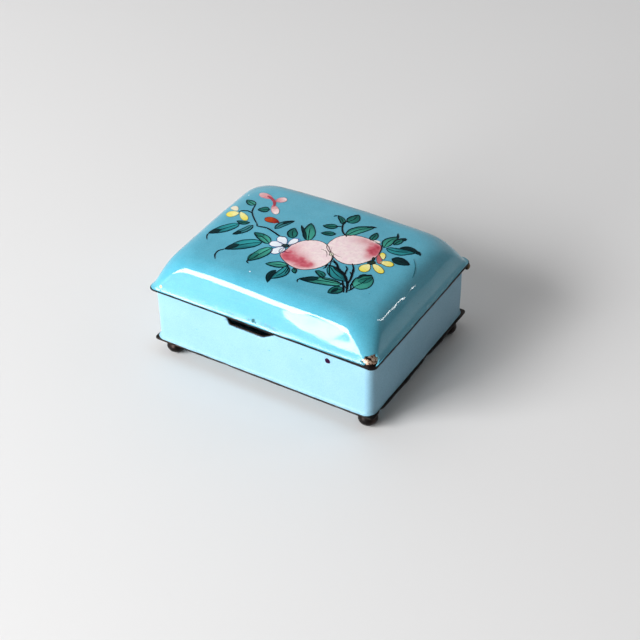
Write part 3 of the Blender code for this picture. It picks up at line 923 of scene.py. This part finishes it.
class Painting:
    """Patches of colour that share one mesh and are draped on a surface."""

    def __init__(self, name, surface, look):
        self.name = name
        self.surface = surface
        self.look = look
        self.points = []
        self.faces = []
        self.colours = []

    def drape(self, place, lift):
        """A plan point in millimetres set on the surface, raised square to it."""
        start, direction = self.look(place)
        hit, normal, _, _ = self.surface.ray_cast(start, direction)
        if normal.dot(direction) > 0:
            normal = -normal
        return hit + normal * lift

    def patch(self, grid, colours, lift, wrap=False):
        """A grid of plan points with a colour each; wrap joins its last column to its first."""
        first = len(self.points)
        width = len(grid[0])
        for row, tints in zip(grid, colours):
            self.points += [self.drape(place, lift) for place in row]
            self.colours += tints
        columns = width if wrap else width - 1
        for r in range(len(grid) - 1):
            for c in range(columns):
                a = first + r * width + c
                b = first + r * width + (c + 1) % width
                self.faces.append((a, b, b + width, a + width))
        if wrap:
            self.faces.append(tuple(first + c for c in reversed(range(width))))

    def stroke(self, points, width, colour, lift=LINE, start=0.35, end=0.25):
        """A brush line that swells in its middle and thins towards both ends."""
        path = smooth_path(points)
        count = len(path) - 1
        grid, tints = [], []
        for i, place in enumerate(path):
            share = i / count
            swell = min(1.0, start + (1 - start) * share * 4, end + (1 - end) * (1 - share) * 4)
            swell *= 1 + 0.22 * noise.noise(Vector((place.x, place.y, 0)) * 1.1)
            half = sideways(path, i) * width * swell / 2
            grid.append([place - half, place, place + half])
            shade = 1 + 0.5 * noise.noise(Vector((place.x, place.y, 3)) * 0.8)
            tints.append([tuple(channel * shade for channel in colour)] * 3)
        self.patch(grid, tints, lift)

    def leaf(self, midrib, half_width, tone, lift=WASH, vein=True, outline=0.33):
        """A pointed leaf along its midrib: a wash, darker at the tip and on one side, outline and vein."""
        light, dark = TONES[tone]
        path = smooth_path(midrib)
        count = len(path) - 1
        across = [step / 4 for step in range(-4, 5)]
        seed = midrib[0][0] * 3.1 + midrib[0][1]
        grid, tints, sides = [], [], ([], [])
        for i, place in enumerate(path):
            share = i / count
            half = half_width * max(math.sin(math.pi * share**0.82), 0.0) ** 0.72 + 0.02
            side = sideways(path, i)
            waver = 1 + 0.1 * noise.noise(Vector((share * 5, seed, 0)))
            grid.append([place + side * half * waver * v for v in across])
            row = []
            for v in across:
                depth = share**1.6 * 0.75 + 0.3 * max(0.0, v) + 0.22 * v * v
                depth += 0.35 * noise.noise(Vector((share * 2.5, v * 2.2, seed)))
                row.append(blend(light, dark, depth))
            tints.append(row)
            sides[0].append(grid[-1][0])
            sides[1].append(grid[-1][-1])
        self.patch(grid, tints, lift)
        for strength, side in zip((0.8, 1.15), sides):
            self.stroke(side[::3] + [side[-1]], outline * strength, LEAF_INK, LINE, 0.5, 0.6)
        if vein:
            self.stroke(path[:: max(1, count // 5)][:5], outline * 0.8, LEAF_INK)

    def blob(self, outline, colour_at, lift, rings, spacing):
        """A filled outline, coloured by a function of the place and its share of the way to the rim."""
        rim = smooth_path([*outline, outline[0]], spacing)[:-1]
        middle = sum(rim, Vector((0, 0))) / len(rim)
        grid, tints = [], []
        for step in range(1, rings + 1):
            share = (step / rings) ** 0.85
            row = [middle.lerp(place, share) for place in rim]
            grid.append(row)
            tints.append([colour_at(place, share) for place in row])
        self.patch(grid, tints, lift, wrap=True)
        return rim

    def petal(self, root, tip, half_width, root_colour, tip_colour, ink, outline, lift=PETAL):
        """A round-ended petal from its root to its tip."""
        root, tip = Vector(root), Vector(tip)
        along = tip - root
        side = Vector((-along.y, along.x)).normalized() * half_width
        shape = ((0.0, 0.15), (0.25, 0.72), (0.6, 1.0), (0.88, 0.72), (1.0, 0.0))
        left = [root + along * s + side * w for s, w in shape]
        right = [root + along * s - side * w for s, w in reversed(shape[:-1])]

        def colour_at(place, share):
            reach = clamp((place - root).dot(along) / along.length_squared, 0, 1)
            streak = 0.25 * noise.noise(Vector((place.x * 1.6, place.y * 1.6, 2)))
            return blend(root_colour, tip_colour, reach + streak)

        rim = self.blob(left + right, colour_at, lift, rings=6, spacing=0.3)
        self.stroke(rim + rim[:1], outline, ink, lift + 0.012 * MM, 0.7, 0.7)

    def make(self, body):
        """Turn the patches into one thin piece, faces outwards and edges sharp only at each patch's rim."""
        mesh = bpy.data.meshes.new(self.name)
        mesh.from_pydata(self.points, [], self.faces)
        paint = mesh.color_attributes.new("paint", "FLOAT_COLOR", "POINT")
        for item, colour in zip(paint.data, self.colours):
            item.color = (*colour, 1.0)
        shape = bmesh.new()
        shape.from_mesh(mesh)
        for face in shape.faces:
            face.normal_update()
            face.smooth = True
            if face.normal.dot(outward(face.calc_center_median())) < 0:
                face.normal_flip()
        for edge in shape.edges:
            edge.smooth = len(edge.link_faces) != 1
        shape.to_mesh(mesh)
        shape.free()
        piece = new_object(self.name, mesh, MATERIALS["paint"])
        thickness = piece.modifiers.new("paint_thickness", "SOLIDIFY")
        thickness.thickness = 0.1 * MM
        thickness.offset = -1.0
        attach(piece, body)


def from_above(place):
    """Where a place in plan is looked for, and in which direction."""
    start = Vector((place[0] * MM, place[1] * MM + MIDDLE_Y, RIM_Z + 40 * MM))
    return start, Vector((0, 0, -1))


def from_front(place):
    """Here a place is (x, height above the lid's rim)."""
    start = Vector((place[0] * MM, MIDDLE_Y - HALF_DEPTH - 20 * MM, RIM_Z + place[1] * MM))
    return start, Vector((0, 1, 0))


# Each leaf: its midrib from stalk to tip, half its width, and its tone
LEAVES = (
    (((3.7, 12.9), (2.3, 14.7), (0.0, 16.3)), 0.8, "deep"),
    (((3.9, 14.6), (4.9, 16.9), (4.9, 19.9)), 1.7, "deep"),
    (((2.9, 11.1), (0.8, 9.9), (-1.1, 9.2)), 1.15, "deep"),
    (((4.4, 7.3), (2.5, 6.5), (0.4, 5.6)), 0.95, "deep"),
    (((7.3, 8.2), (8.7, 12.4), (12.2, 16.7)), 1.6, "light"),
    (((14.5, 10.0), (14.6, 12.2), (14.3, 14.4)), 1.0, "deep"),
    (((19.6, 8.8), (19.3, 12.4), (20.6, 16.2)), 1.35, "light"),
    (((21.3, 11.6), (21.7, 14.0), (22.6, 16.6)), 0.95, "deep"),
    (((20.4, 8.8), (24.2, 9.4), (28.6, 12.2)), 1.55, "teal"),
    (((23.6, 11.3), (26.4, 12.5), (29.9, 11.7)), 0.85, "dark"),
    (((24.2, 5.2), (26.8, 5.5), (29.7, 5.6)), 1.55, "dark"),
    (((21.4, -12.0), (22.7, -8.4), (22.9, -4.6)), 2.55, "light"),
    (((10.8, -7.2), (14.4, -9.6), (18.3, -10.9)), 1.85, "teal"),
    (((12.2, -12.4), (10.5, -11.5), (8.5, -11.1)), 0.95, "deep"),
    (((18.0, -12.7), (12.4, -14.2), (6.4, -16.6)), 1.55, "light"),
    (((19.4, -14.0), (17.9, -15.6), (16.5, -17.8)), 1.45, "deep"),
    (((0.4, -13.0), (-2.4, -13.9), (-5.6, -15.2)), 1.25, "light"),
    (((0.6, -13.2), (0.9, -16.6), (-0.8, -20.4)), 1.4, "teal"),
    (((-1.4, -16.4), (-1.8, -18.9), (-0.7, -22.0)), 0.85, "dark"),
    (((2.6, -13.1), (3.3, -14.1), (4.2, -15.1)), 0.62, "deep"),
    (((-8.1, -7.8), (-9.5, -11.9), (-10.9, -16.4)), 1.85, "light"),
    (((-9.9, -6.4), (-13.0, -4.7), (-17.0, -3.5)), 1.45, "light"),
    (((-12.2, -6.8), (-16.4, -10.0), (-20.2, -14.4)), 2.15, "teal"),
    (((-23.6, -1.6), (-26.0, -5.0), (-29.4, -9.4)), 1.75, "teal"),
    (((-19.6, -0.4), (-20.3, -3.6), (-22.4, -7.0)), 1.1, "grey"),
    (((-21.2, 0.4), (-23.0, -0.5), (-25.2, -0.4)), 0.8, "deep"),
    (((-25.3, 9.6), (-27.0, 10.2), (-29.3, 11.2)), 1.15, "light"),
    (((-19.9, 9.4), (-21.3, 8.6), (-23.0, 7.7)), 1.35, "deep"),
    (((-12.6, 0.8), (-11.9, 4.0), (-9.8, 7.2)), 1.1, "grey"),
    (((-5.3, -0.8), (-7.0, 1.6), (-7.7, 3.9)), 1.45, "deep"),
    (((-0.8, 0.2), (-2.9, 4.4), (-4.8, 8.5)), 1.75, "light"),
)

# Dark second lobes and curled tips laid over the leaves
FOLDS = (
    (((-1.7, 0.6), (-4.4, 3.6), (-6.8, 6.2)), 0.5, "dark"),
    (((-12.0, 3.9), (-11.2, 5.8), (-9.8, 7.3)), 0.55, "dark"),
    (((-17.6, -10.6), (-19.0, -12.4), (-20.2, -14.5)), 1.0, "dark"),
    (((-26.9, -6.4), (-28.4, -8.0), (-29.4, -9.5)), 0.95, "dark"),
    (((-20.9, -4.6), (-21.5, -5.8), (-22.4, -7.0)), 0.75, "dark"),
    (((-10.0, -12.0), (-10.9, -13.8), (-11.0, -16.4)), 1.05, "deep"),
    (((-13.4, -3.7), (-15.0, -3.9), (-17.0, -3.5)), 0.75, "deep"),
    (((10.4, 15.2), (11.3, 16.2), (12.8, 16.8)), 0.42, "dark"),
    (((-0.1, 16.2), (-0.6, 15.9), (-1.0, 15.2)), 0.25, "dark"),
    (((20.7, 15.0), (20.2, 16.2), (19.5, 17.6)), 0.3, "dark"),
    (((22.2, 15.0), (22.6, 15.7), (23.1, 16.4)), 0.6, "dark"),
    (((28.2, 12.6), (29.3, 12.4), (30.1, 11.4)), 0.35, "dark"),
    (((21.2, -9.0), (22.9, -7.6), (23.8, -5.4)), 0.95, "deep"),
    (((20.6, -8.2), (21.0, -6.0), (23.4, -4.9)), 0.42, "dark"),
    (((11.2, -13.7), (8.9, -15.2), (6.8, -16.8)), 0.95, "dark"),
    (((17.9, -14.4), (17.6, -15.8), (17.2, -17.2)), 0.55, "dark"),
    (((12.0, -7.2), (14.0, -7.7), (16.2, -8.8)), 0.5, "dark"),
)

# Each line: its points and its width
TWIGS = (
    (((-25.3, 10.0), (-24.6, 7.4), (-23.5, 5.2), (-20.8, 2.4), (-18.4, 0.4)), 0.34),
    (((-18.9, 0.8), (-18.0, -0.2), (-15.0, 0.1), (-12.0, -0.8), (-9.2, -1.8), (-7.4, -1.4)), 0.4),
    (((-23.5, 5.2), (-25.4, 5.7), (-27.2, 4.9), (-27.5, 3.6)), 0.3),
    (((7.8, 7.8), (5.6, 9.3), (4.1, 11.6), (3.4, 13.8), (3.9, 15.2)), 0.42),
    (((4.1, 11.6), (3.0, 11.3), (2.2, 11.0)), 0.28),
    (((20.9, -15.0), (19.7, -12.4), (18.2, -10.3), (16.2, -8.3), (13.8, -7.1), (12.2, -5.4),
      (10.3, -4.2)), 0.62),
    (((20.2, -15.4), (19.0, -13.4), (17.2, -11.0)), 0.5),
    (((19.4, -12.0), (19.0, -9.6), (18.2, -7.0), (17.2, -4.6), (15.8, -2.9)), 0.5),
    (((16.9, -9.0), (16.2, -7.4), (15.8, -5.8), (14.8, -4.8)), 0.38),
    (((18.0, -7.4), (17.5, -6.8), (17.1, -6.6)), 0.26),
    (((13.9, -7.2), (12.0, -6.9), (10.0, -7.2), (10.2, -8.2), (9.9, -9.2)), 0.42),
    (((12.4, -5.8), (11.6, -5.2), (10.4, -4.9)), 0.4),
    (((9.8, -3.6), (10.5, -6.2), (11.8, -9.0), (13.3, -10.9), (15.2, -11.6)), 0.22),
    (((20.3, -13.6), (18.0, -12.5), (15.2, -12.6), (12.3, -13.2), (11.4, -12.6)), 0.34),
    (((20.1, -9.4), (20.3, -11.4), (21.2, -13.2), (20.9, -14.2)), 0.34),
    (((21.6, -12.0), (21.4, -13.0), (21.0, -13.8)), 0.34),
    (((-20.1, -14.3), (-21.4, -16.0), (-21.2, -18.0), (-20.0, -19.7)), 0.34),
    (((-29.3, -9.3), (-29.0, -10.8), (-27.8, -12.5)), 0.26),
    (((-10.9, -15.8), (-11.0, -16.8), (-10.0, -17.4)), 0.3),
    (((6.9, -16.4), (6.3, -17.2), (6.8, -18.2)), 0.26),
    (((0.2, -12.6), (1.3, -14.2), (1.7, -16.6)), 0.24),
)

PEACH_PALE = (0.8, 0.6, 0.645)
PEACH_CREAM = (0.86, 0.74, 0.72)
PEACH_ROSE = (0.56, 0.125, 0.165)
PEACH_RED = (0.36, 0.025, 0.05)
PEACH_LEFT = (
    (-3.9, -4.2), (-2.2, -0.8), (0.5, 1.2), (3.2, 1.7), (5.6, 0.8), (7.6, -1.2), (9.3, -3.2),
    (9.9, -5.6), (9.3, -8.4), (7.4, -11.0), (4.6, -12.8), (1.6, -12.8), (-1.2, -11.8), (-3.4, -10.5),
    (-4.5, -9.0), (-4.0, -6.8),
)
PEACH_RIGHT = (
    (4.9, 2.8), (5.6, 6.0), (7.6, 8.6), (10.6, 10.0), (13.6, 10.3), (16.8, 9.9), (19.0, 8.8),
    (19.8, 6.4), (20.0, 3.4), (19.0, 0.2), (17.0, -2.6), (14.2, -4.0), (11.4, -3.8), (8.6, -2.2),
    (6.4, -0.8), (5.2, 0.8),
)
# Washes of rose on each peach: middle, reach, and strength
BLUSH_LEFT = (
    ((-2.6, -9.6), 2.6, 0.95), ((0.6, -9.4), 3.0, 0.65), ((2.6, -9.2), 2.2, 0.55),
    ((5.8, -9.7), 1.5, 0.95), ((-3.0, -6.4), 2.0, 0.55), ((-2.2, -3.6), 2.0, 0.25),
    ((3.8, -11.0), 2.2, 0.55), ((0.8, -5.8), 2.6, 0.12),
)
BLUSH_RIGHT = (
    ((18.8, 5.2), 2.2, 1.05), ((18.4, 8.0), 1.7, 0.85), ((16.4, 8.2), 2.1, 0.6),
    ((13.2, 9.0), 2.0, 0.42), ((18.0, 2.4), 1.3, 0.55), ((17.0, 5.4), 1.5, 0.55),
    ((11.2, 7.8), 2.2, 0.16),
)


def peach_colour(blushes):
    """Cream and pale pink with washes of rose, lighter at the rim where no rose reaches it."""
    def colour_at(place, share):
        rose = 0.0
        for middle, reach, strength in blushes:
            away = (place - Vector(middle)).length / reach
            rose += strength * math.exp(-(away**2))
        grain = noise.noise(Vector((place.x, place.y, 5)) * 0.9)
        fine = noise.noise(Vector((place.x, place.y, 9)) * 1.6)
        rose *= 1 + 0.35 * grain + 0.15 * fine
        base = blend(PEACH_PALE, PEACH_CREAM, 0.5 + 0.6 * grain)
        tone = blend(base, PEACH_ROSE, rose)
        tone = blend(tone, PEACH_RED, (rose - 1.0) * 1.4)
        return blend(tone, PEACH_CREAM, (share - 0.93) * 9 * (1 - 0.8 * min(rose, 1)))
    return colour_at


def paint_foliage(surface):
    leaves = Painting("painted_leaves", surface, from_above)
    for midrib, half_width, tone in LEAVES:
        leaves.leaf(midrib, half_width, tone)
    for midrib, half_width, tone in FOLDS:
        leaves.leaf(midrib, half_width, tone, FOLD, vein=False, outline=0.1)
    leaves.stroke(((29.4, 8.8), (30.8, 7.0), (31.9, 4.9), (32.7, 2.0)), 0.2, (0.016, 0.13, 0.17))
    leaves.make("lid")
    twigs = Painting("painted_twigs", surface, from_above)
    for points, width in TWIGS:
        twigs.stroke(points, width * 1.22, INK, LINE + 0.012 * MM, 0.6, 0.3)
    twigs.make("lid")


def paint_peaches(surface):
    fruit = Painting("painted_peaches", surface, from_above)
    plum, grey, brown = (0.055, 0.018, 0.028), (0.05, 0.05, 0.05), (0.03, 0.02, 0.03)
    for outline, blushes in ((PEACH_LEFT, BLUSH_LEFT), (PEACH_RIGHT, BLUSH_RIGHT)):
        rim = fruit.blob(outline, peach_colour(blushes), FRUIT, rings=22, spacing=0.3)
        fruit.stroke(rim + rim[:1], 0.19, plum, LINE, 0.9, 0.9)
    for points, width, colour in (
        (((4.6, -1.5), (6.2, -1.6), (7.3, -2.6), (7.9, -3.9)), 0.18, plum),
        (((6.9, 1.0), (7.2, -0.2), (8.0, -1.2), (10.0, -1.9), (12.0, -2.0)), 0.14, (0.3, 0.17, 0.2)),
        (((7.4, -1.0), (7.9, -2.2), (8.3, -3.2)), 0.24, grey),
        (((9.0, -1.8), (9.4, -2.8), (10.2, -4.2)), 0.2, grey),
        (((16.4, 9.6), (18.2, 9.3), (19.4, 7.6), (19.9, 5.0)), 0.3, brown),
        (((-4.4, -9.0), (-4.0, -7.6), (-3.2, -7.8), (-1.8, -7.4)), 0.2, PEACH_RED),
    ):
        fruit.stroke(points, width, colour)
    fruit.make("lid")


# Each petal: its root, its tip and half its width
WHITE_FLOWER = (
    ((-5.6, -4.4), (-9.2, -2.1), 1.45),
    ((-5.8, -5.2), (-10.1, -6.2), 1.4),
    ((-5.4, -6.0), (-6.8, -10.2), 1.4),
    ((-4.8, -4.2), (-3.9, -0.5), 1.1),
    ((-4.9, -6.2), (-4.6, -8.8), 0.85),
)
YELLOW_RIGHT = (
    ((20.1, -0.6), (19.7, -4.7), 1.55),
    ((20.9, 0.2), (25.3, -2.2), 1.2),
    ((22.2, 2.1), (26.1, 2.8), 1.25),
    ((22.3, 3.6), (20.5, 6.3), 0.85),
)
YELLOW_LEFT = (
    ((-27.2, 3.6), (-30.2, 1.2), 1.7),
    ((-26.9, 4.2), (-22.8, 0.9), 1.05),
)
PALE_LEFT = ((-28.4, 4.6), (-31.4, 6.4), 1.0)
PINK_FLOWER = (
    ((-22.6, 15.1), (-27.9, 16.3), 1.3),
    ((-20.9, 14.2), (-18.6, 17.0), 1.45),
    ((-20.3, 12.0), (-16.6, 8.0), 1.15),
)
PINK_TIPS = ((0.74, 0.46, 0.47), (0.84, 0.66, 0.66), (0.88, 0.8, 0.78))
PINK_STEM = ((-24.9, 15.9), (-23.0, 15.2), (-21.2, 13.9), (-20.0, 12.2), (-19.6, 11.2))


def paint_white(surface):
    """The white blossom with its dark heart, and two pale touches on the right-hand peach."""
    white = Painting("painted_white_blossom", surface, from_above)
    shade, snow, blue = (0.66, 0.73, 0.8), (0.8, 0.85, 0.9), (0.015, 0.035, 0.18)
    for petal in WHITE_FLOWER:
        white.petal(*petal, shade, snow, blue, 0.2)
    white.stroke(((-2.6, -1.0), (-3.6, -0.4), (-4.8, -0.8)), 0.3, (0.1, 0.17, 0.42))
    heart = ((-6.4, -5.4), (-4.2, -4.9), 0.75)
    cleft, stalk_end = ((7.7, -1.6), (9.2, -2.7), 0.55), ((15.2, 10.2), (17.6, 10.3), 0.6)
    white.petal(*heart, (0.02, 0.05, 0.05), (0.01, 0.03, 0.03), INK, 0.2, LINE)
    white.petal(*cleft, (0.76, 0.74, 0.6), (0.7, 0.68, 0.55), (0.1, 0.1, 0.08), 0.12, LINE)
    white.petal(*stalk_end, (0.8, 0.76, 0.72), (0.72, 0.66, 0.62), (0.45, 0.4, 0.4), 0.1)
    white.make("lid")


def paint_yellow(surface):
    """Yellow blossoms right and left, with the dark heart of the right-hand one."""
    yellow = Painting("painted_yellow_blossoms", surface, from_above)
    cream, gold = (0.84, 0.8, 0.42), (0.76, 0.65, 0.06)
    for petal in YELLOW_RIGHT:
        yellow.petal(*petal, cream, gold, (0.07, 0.07, 0.01), 0.17)
    for petal in YELLOW_LEFT:
        yellow.petal(*petal, cream, gold, (0.3, 0.28, 0.08), 0.12)
    yellow.petal(*PALE_LEFT, (0.74, 0.7, 0.5), (0.7, 0.62, 0.52), (0.45, 0.42, 0.3), 0.1)
    for heart in (((19.4, -0.6), (21.0, 1.2), 0.8), ((20.1, 1.4), (19.6, 3.0), 0.4)):
        yellow.petal(*heart, (0.01, 0.03, 0.03), (0.02, 0.04, 0.02), INK, 0.2, LINE)
    yellow.make("lid")


def paint_pink(surface):
    """The pink blossom, the red leaf with its two tones, and a red petal beside the right-hand peach."""
    pink = Painting("painted_pink_blossom", surface, from_above)
    for petal, tip_colour in zip(PINK_FLOWER, PINK_TIPS):
        pink.petal(*petal, (0.55, 0.13, 0.17), tip_colour, (0.4, 0.18, 0.22), 0.1)
    pink.stroke(PINK_STEM, 0.95, (0.33, 0.05, 0.075))
    red_petal, red_leaf = ((20.1, 4.8), (22.5, 1.2), 0.75), ((-13.5, 4.3), (-18.4, 4.6), 1.4)
    leaf_root, leaf_tip = ((-13.7, 4.5), (-15.4, 4.2), 1.0), ((-18.5, 4.7), (-17.2, 4.6), 0.55)
    pink.petal(*red_petal, (0.42, 0.075, 0.095), (0.5, 0.16, 0.15), (0.14, 0.02, 0.03), 0.14)
    pink.petal(*red_leaf, (0.16, 0.005, 0.003), (0.56, 0.075, 0.008), (0.06, 0.004, 0.003), 0.16)
    pink.petal(*leaf_root, (0.1, 0.003, 0.002), (0.4, 0.03, 0.01), (0.3, 0.02, 0.01), 0.1, LINE)
    pink.petal(*leaf_tip, (0.22, 0.015, 0.006), (0.5, 0.06, 0.01), (0.3, 0.03, 0.01), 0.1, LINE)
    pink.make("lid")


def spot(painting, middle, radius, colour, rim_colour=None, lift=WASH, seed=0.0):
    """A small uneven drop of colour."""
    outline = []
    for x, y in circle(12):
        reach = radius * (1 + 0.22 * noise.noise(Vector((x, y, seed))))
        outline.append((middle[0] + reach * x, middle[1] + reach * y))
    rim_colour = rim_colour or colour

    def colour_at(place, share):
        return blend(colour, rim_colour, (share - 0.7) * 3)

    painting.blob(outline, colour_at, lift, rings=5, spacing=0.12)


# Thin, stained enamel above the notch, resting on the lip: x, reach, depth of the stain, and a seed
LIP_STAINS = (
    (-9.6, 0.45, 0.16, 5.1), (-8.4, 0.35, 0.26, 5.2), (-3.0, 0.5, 0.24, 5.3), (-1.5, 0.62, 0.9, 4.0),
    (-0.7, 0.34, 0.55, 4.4), (1.0, 0.5, 0.16, 5.6), (2.6, 0.62, 0.2, 5.0), (4.0, 0.55, 0.22, 5.5),
    (5.3, 0.48, 0.24, 5.7), (6.3, 0.3, 0.18, 5.9),
)


def paint_marks(lid_surface, wall_surface):
    """Stray drops, stains and kiln spots."""
    top = Painting("lid_kiln_spots", lid_surface, from_above)
    spot(top, (-27.4, -25.6), 0.16, (0.1, 0.06, 0.04))
    spot(top, (-7.6, -20.4), 0.26, (0.62, 0.78, 0.86), (0.3, 0.56, 0.68))
    spot(top, (26.5, -12.0), 0.14, (0.05, 0.14, 0.18), seed=2.0)
    spot(top, (-30.6, 14.2), 0.2, (0.7, 0.74, 0.72), seed=3.0)
    spot(top, (-18.3, 24.3), 0.75, (0.5, 0.33, 0.16), (0.56, 0.5, 0.36), seed=3.5)
    top.make("lid")
    lip = Painting("lip_stain", lid_surface, from_front)
    clean, stained = (0.17, 0.43, 0.54), (0.02, 0.085, 0.095)
    for x, reach, depth, seed in LIP_STAINS:
        z = LIP_TOP / MM + 0.35 + 1.22 * reach
        stain = blend(clean, stained, depth)
        spot(lip, (x, z), reach, stain, blend(stain, clean, 0.8), FOLD if depth > 0.3 else WASH, seed)
    spot(lip, (-33.6, 1.9), 0.45, (0.62, 0.44, 0.28), (0.74, 0.66, 0.55), seed=5.2)
    lip.make("lid")
    wall = Painting("wall_spots", wall_surface, from_front)
    spot(wall, (22.6, -3.2), 0.85, (0.022, 0.004, 0.02), (0.055, 0.012, 0.055), PETAL, seed=6.0)
    spot(wall, (14.0, -6.1), 0.2, (0.12, 0.34, 0.42), seed=7.0)
    spot(wall, (3.2, -7.4), 0.24, (0.13, 0.38, 0.47), seed=8.0)
    spot(wall, (-22.0, -9.6), 0.18, (0.12, 0.36, 0.44), seed=9.0)
    wall.make("tray")


# ================ stage
def make_stage():
    """A pale floor, a little mottled, and the room round it."""
    shader = Shader("pale_floor", Roughness=0.55)
    mottling = shader.noise(300 * MM, 2.0)
    tone = shader.ramp(mottling, ((0.3, (0.715, 0.71, 0.71)), (0.7, (0.73, 0.725, 0.725))))
    mesh = bpy.data.meshes.new("floor")
    corners = [(x * FLOOR_HALF, y * FLOOR_HALF, 0) for x, y in ((-1, -1), (1, -1), (1, 1), (-1, 1))]
    mesh.from_pydata(corners, [], [(0, 1, 2, 3)])
    new_object("floor", mesh, shader.finish(Base_Color=tone))
    make_world()


def make_world():
    """A dim room, with a pale backdrop behind and to the left."""
    world = bpy.data.worlds.new("studio")
    bpy.context.scene.world = world
    world.use_nodes = True
    tree = world.node_tree
    background = tree.nodes["Background"]
    place = add_node(tree, "ShaderNodeTexCoord", {}).outputs["Generated"]
    ends = {0: place, 1: BACKDROP_DIRECTION}
    facing = add_node(tree, "ShaderNodeVectorMath", ends, operation="DOT_PRODUCT").outputs["Value"]
    level = add_ramp(tree, facing, ((0.0, ROOM_LEVEL), (0.9, BACKDROP_LEVEL)))
    tree.links.new(level, background.inputs["Color"])
    background.inputs["Strength"].default_value = 1.0


def towards(azimuth, elevation):
    """The direction this many degrees right of the box's front and above the floor."""
    turn, rise = math.radians(azimuth), math.radians(elevation)
    return Vector((math.sin(turn) * math.cos(rise), -math.cos(turn) * math.cos(rise), math.sin(rise)))


def softbox(name, left_of_front, elevation, width, height, brightness):
    """A rectangular light seen from the box in a direction, with its angular size in degrees."""
    direction = towards(-left_of_front, elevation)
    light = bpy.data.lights.new(name, "AREA")
    light.shape = "RECTANGLE"
    light.size = 2 * LIGHT_DISTANCE * math.tan(math.radians(width / 2))
    light.size_y = 2 * LIGHT_DISTANCE * math.tan(math.radians(height / 2))
    light.energy = brightness * math.pi * light.size * light.size_y
    lamp = bpy.data.objects.new(name, light)
    lamp.location = CAMERA_TARGET + direction * LIGHT_DISTANCE
    lamp.rotation_euler = (-direction).to_track_quat("-Z", "Y").to_euler()
    bpy.context.scene.collection.objects.link(lamp)


def make_lights():
    """A window in front and to the left over a lit sill, a pane beside it, a dim ceiling and a strip."""
    for name, settings in LIGHTS.items():
        softbox(name, *settings)


def make_camera():
    back = towards(CAMERA_AZIMUTH, CAMERA_ELEVATION)
    data = bpy.data.cameras.new("camera")
    data.lens = CAMERA_LENS
    data.sensor_width = SENSOR_WIDTH
    camera = bpy.data.objects.new("camera", data)
    camera.location = CAMERA_TARGET + back * CAMERA_DISTANCE
    turn = (-back).to_track_quat("-Z", "Y") @ Quaternion((0, 0, 1), math.radians(CAMERA_ROLL))
    camera.rotation_euler = turn.to_euler()
    bpy.context.scene.collection.objects.link(camera)
    bpy.context.scene.camera = camera


# ================ assembly
MATERIALS = make_materials()
make_camera()
make_stage()
make_lights()
bpy.context.scene.view_settings.view_transform = "Standard"

lid_surface = make_lid_enamel()
make_lid_copper()
make_lid_lining()
wall_surface = make_wall_enamel()
make_wall_copper()
make_wall_lining()
make_floor_enamel()
make_bottom_plate()
refine("underside_enamel", "underside_enamel_sheet", MATERIALS["lining"], "tray")
refine("base_hinge_bearer", "base_hinge_strip", MATERIALS["hinge_copper"], "tray")
refine("lid_hinge_bearer", "lid_hinge_strip", MATERIALS["hinge_copper"], "lid")
for place in ("front_left", "front_right", "rear_left", "rear_right"):
    make_foot("foot_" + place)
for place in ("left", "middle", "right"):
    make_knuckle("base_knuckle_" + place, "tray")
for place in ("left", "right"):
    make_knuckle("lid_knuckle_" + place, "lid")
make_pin()
paint_foliage(lid_surface)
paint_peaches(lid_surface)
paint_white(lid_surface)
paint_yellow(lid_surface)
paint_pink(lid_surface)
paint_marks(lid_surface, wall_surface)
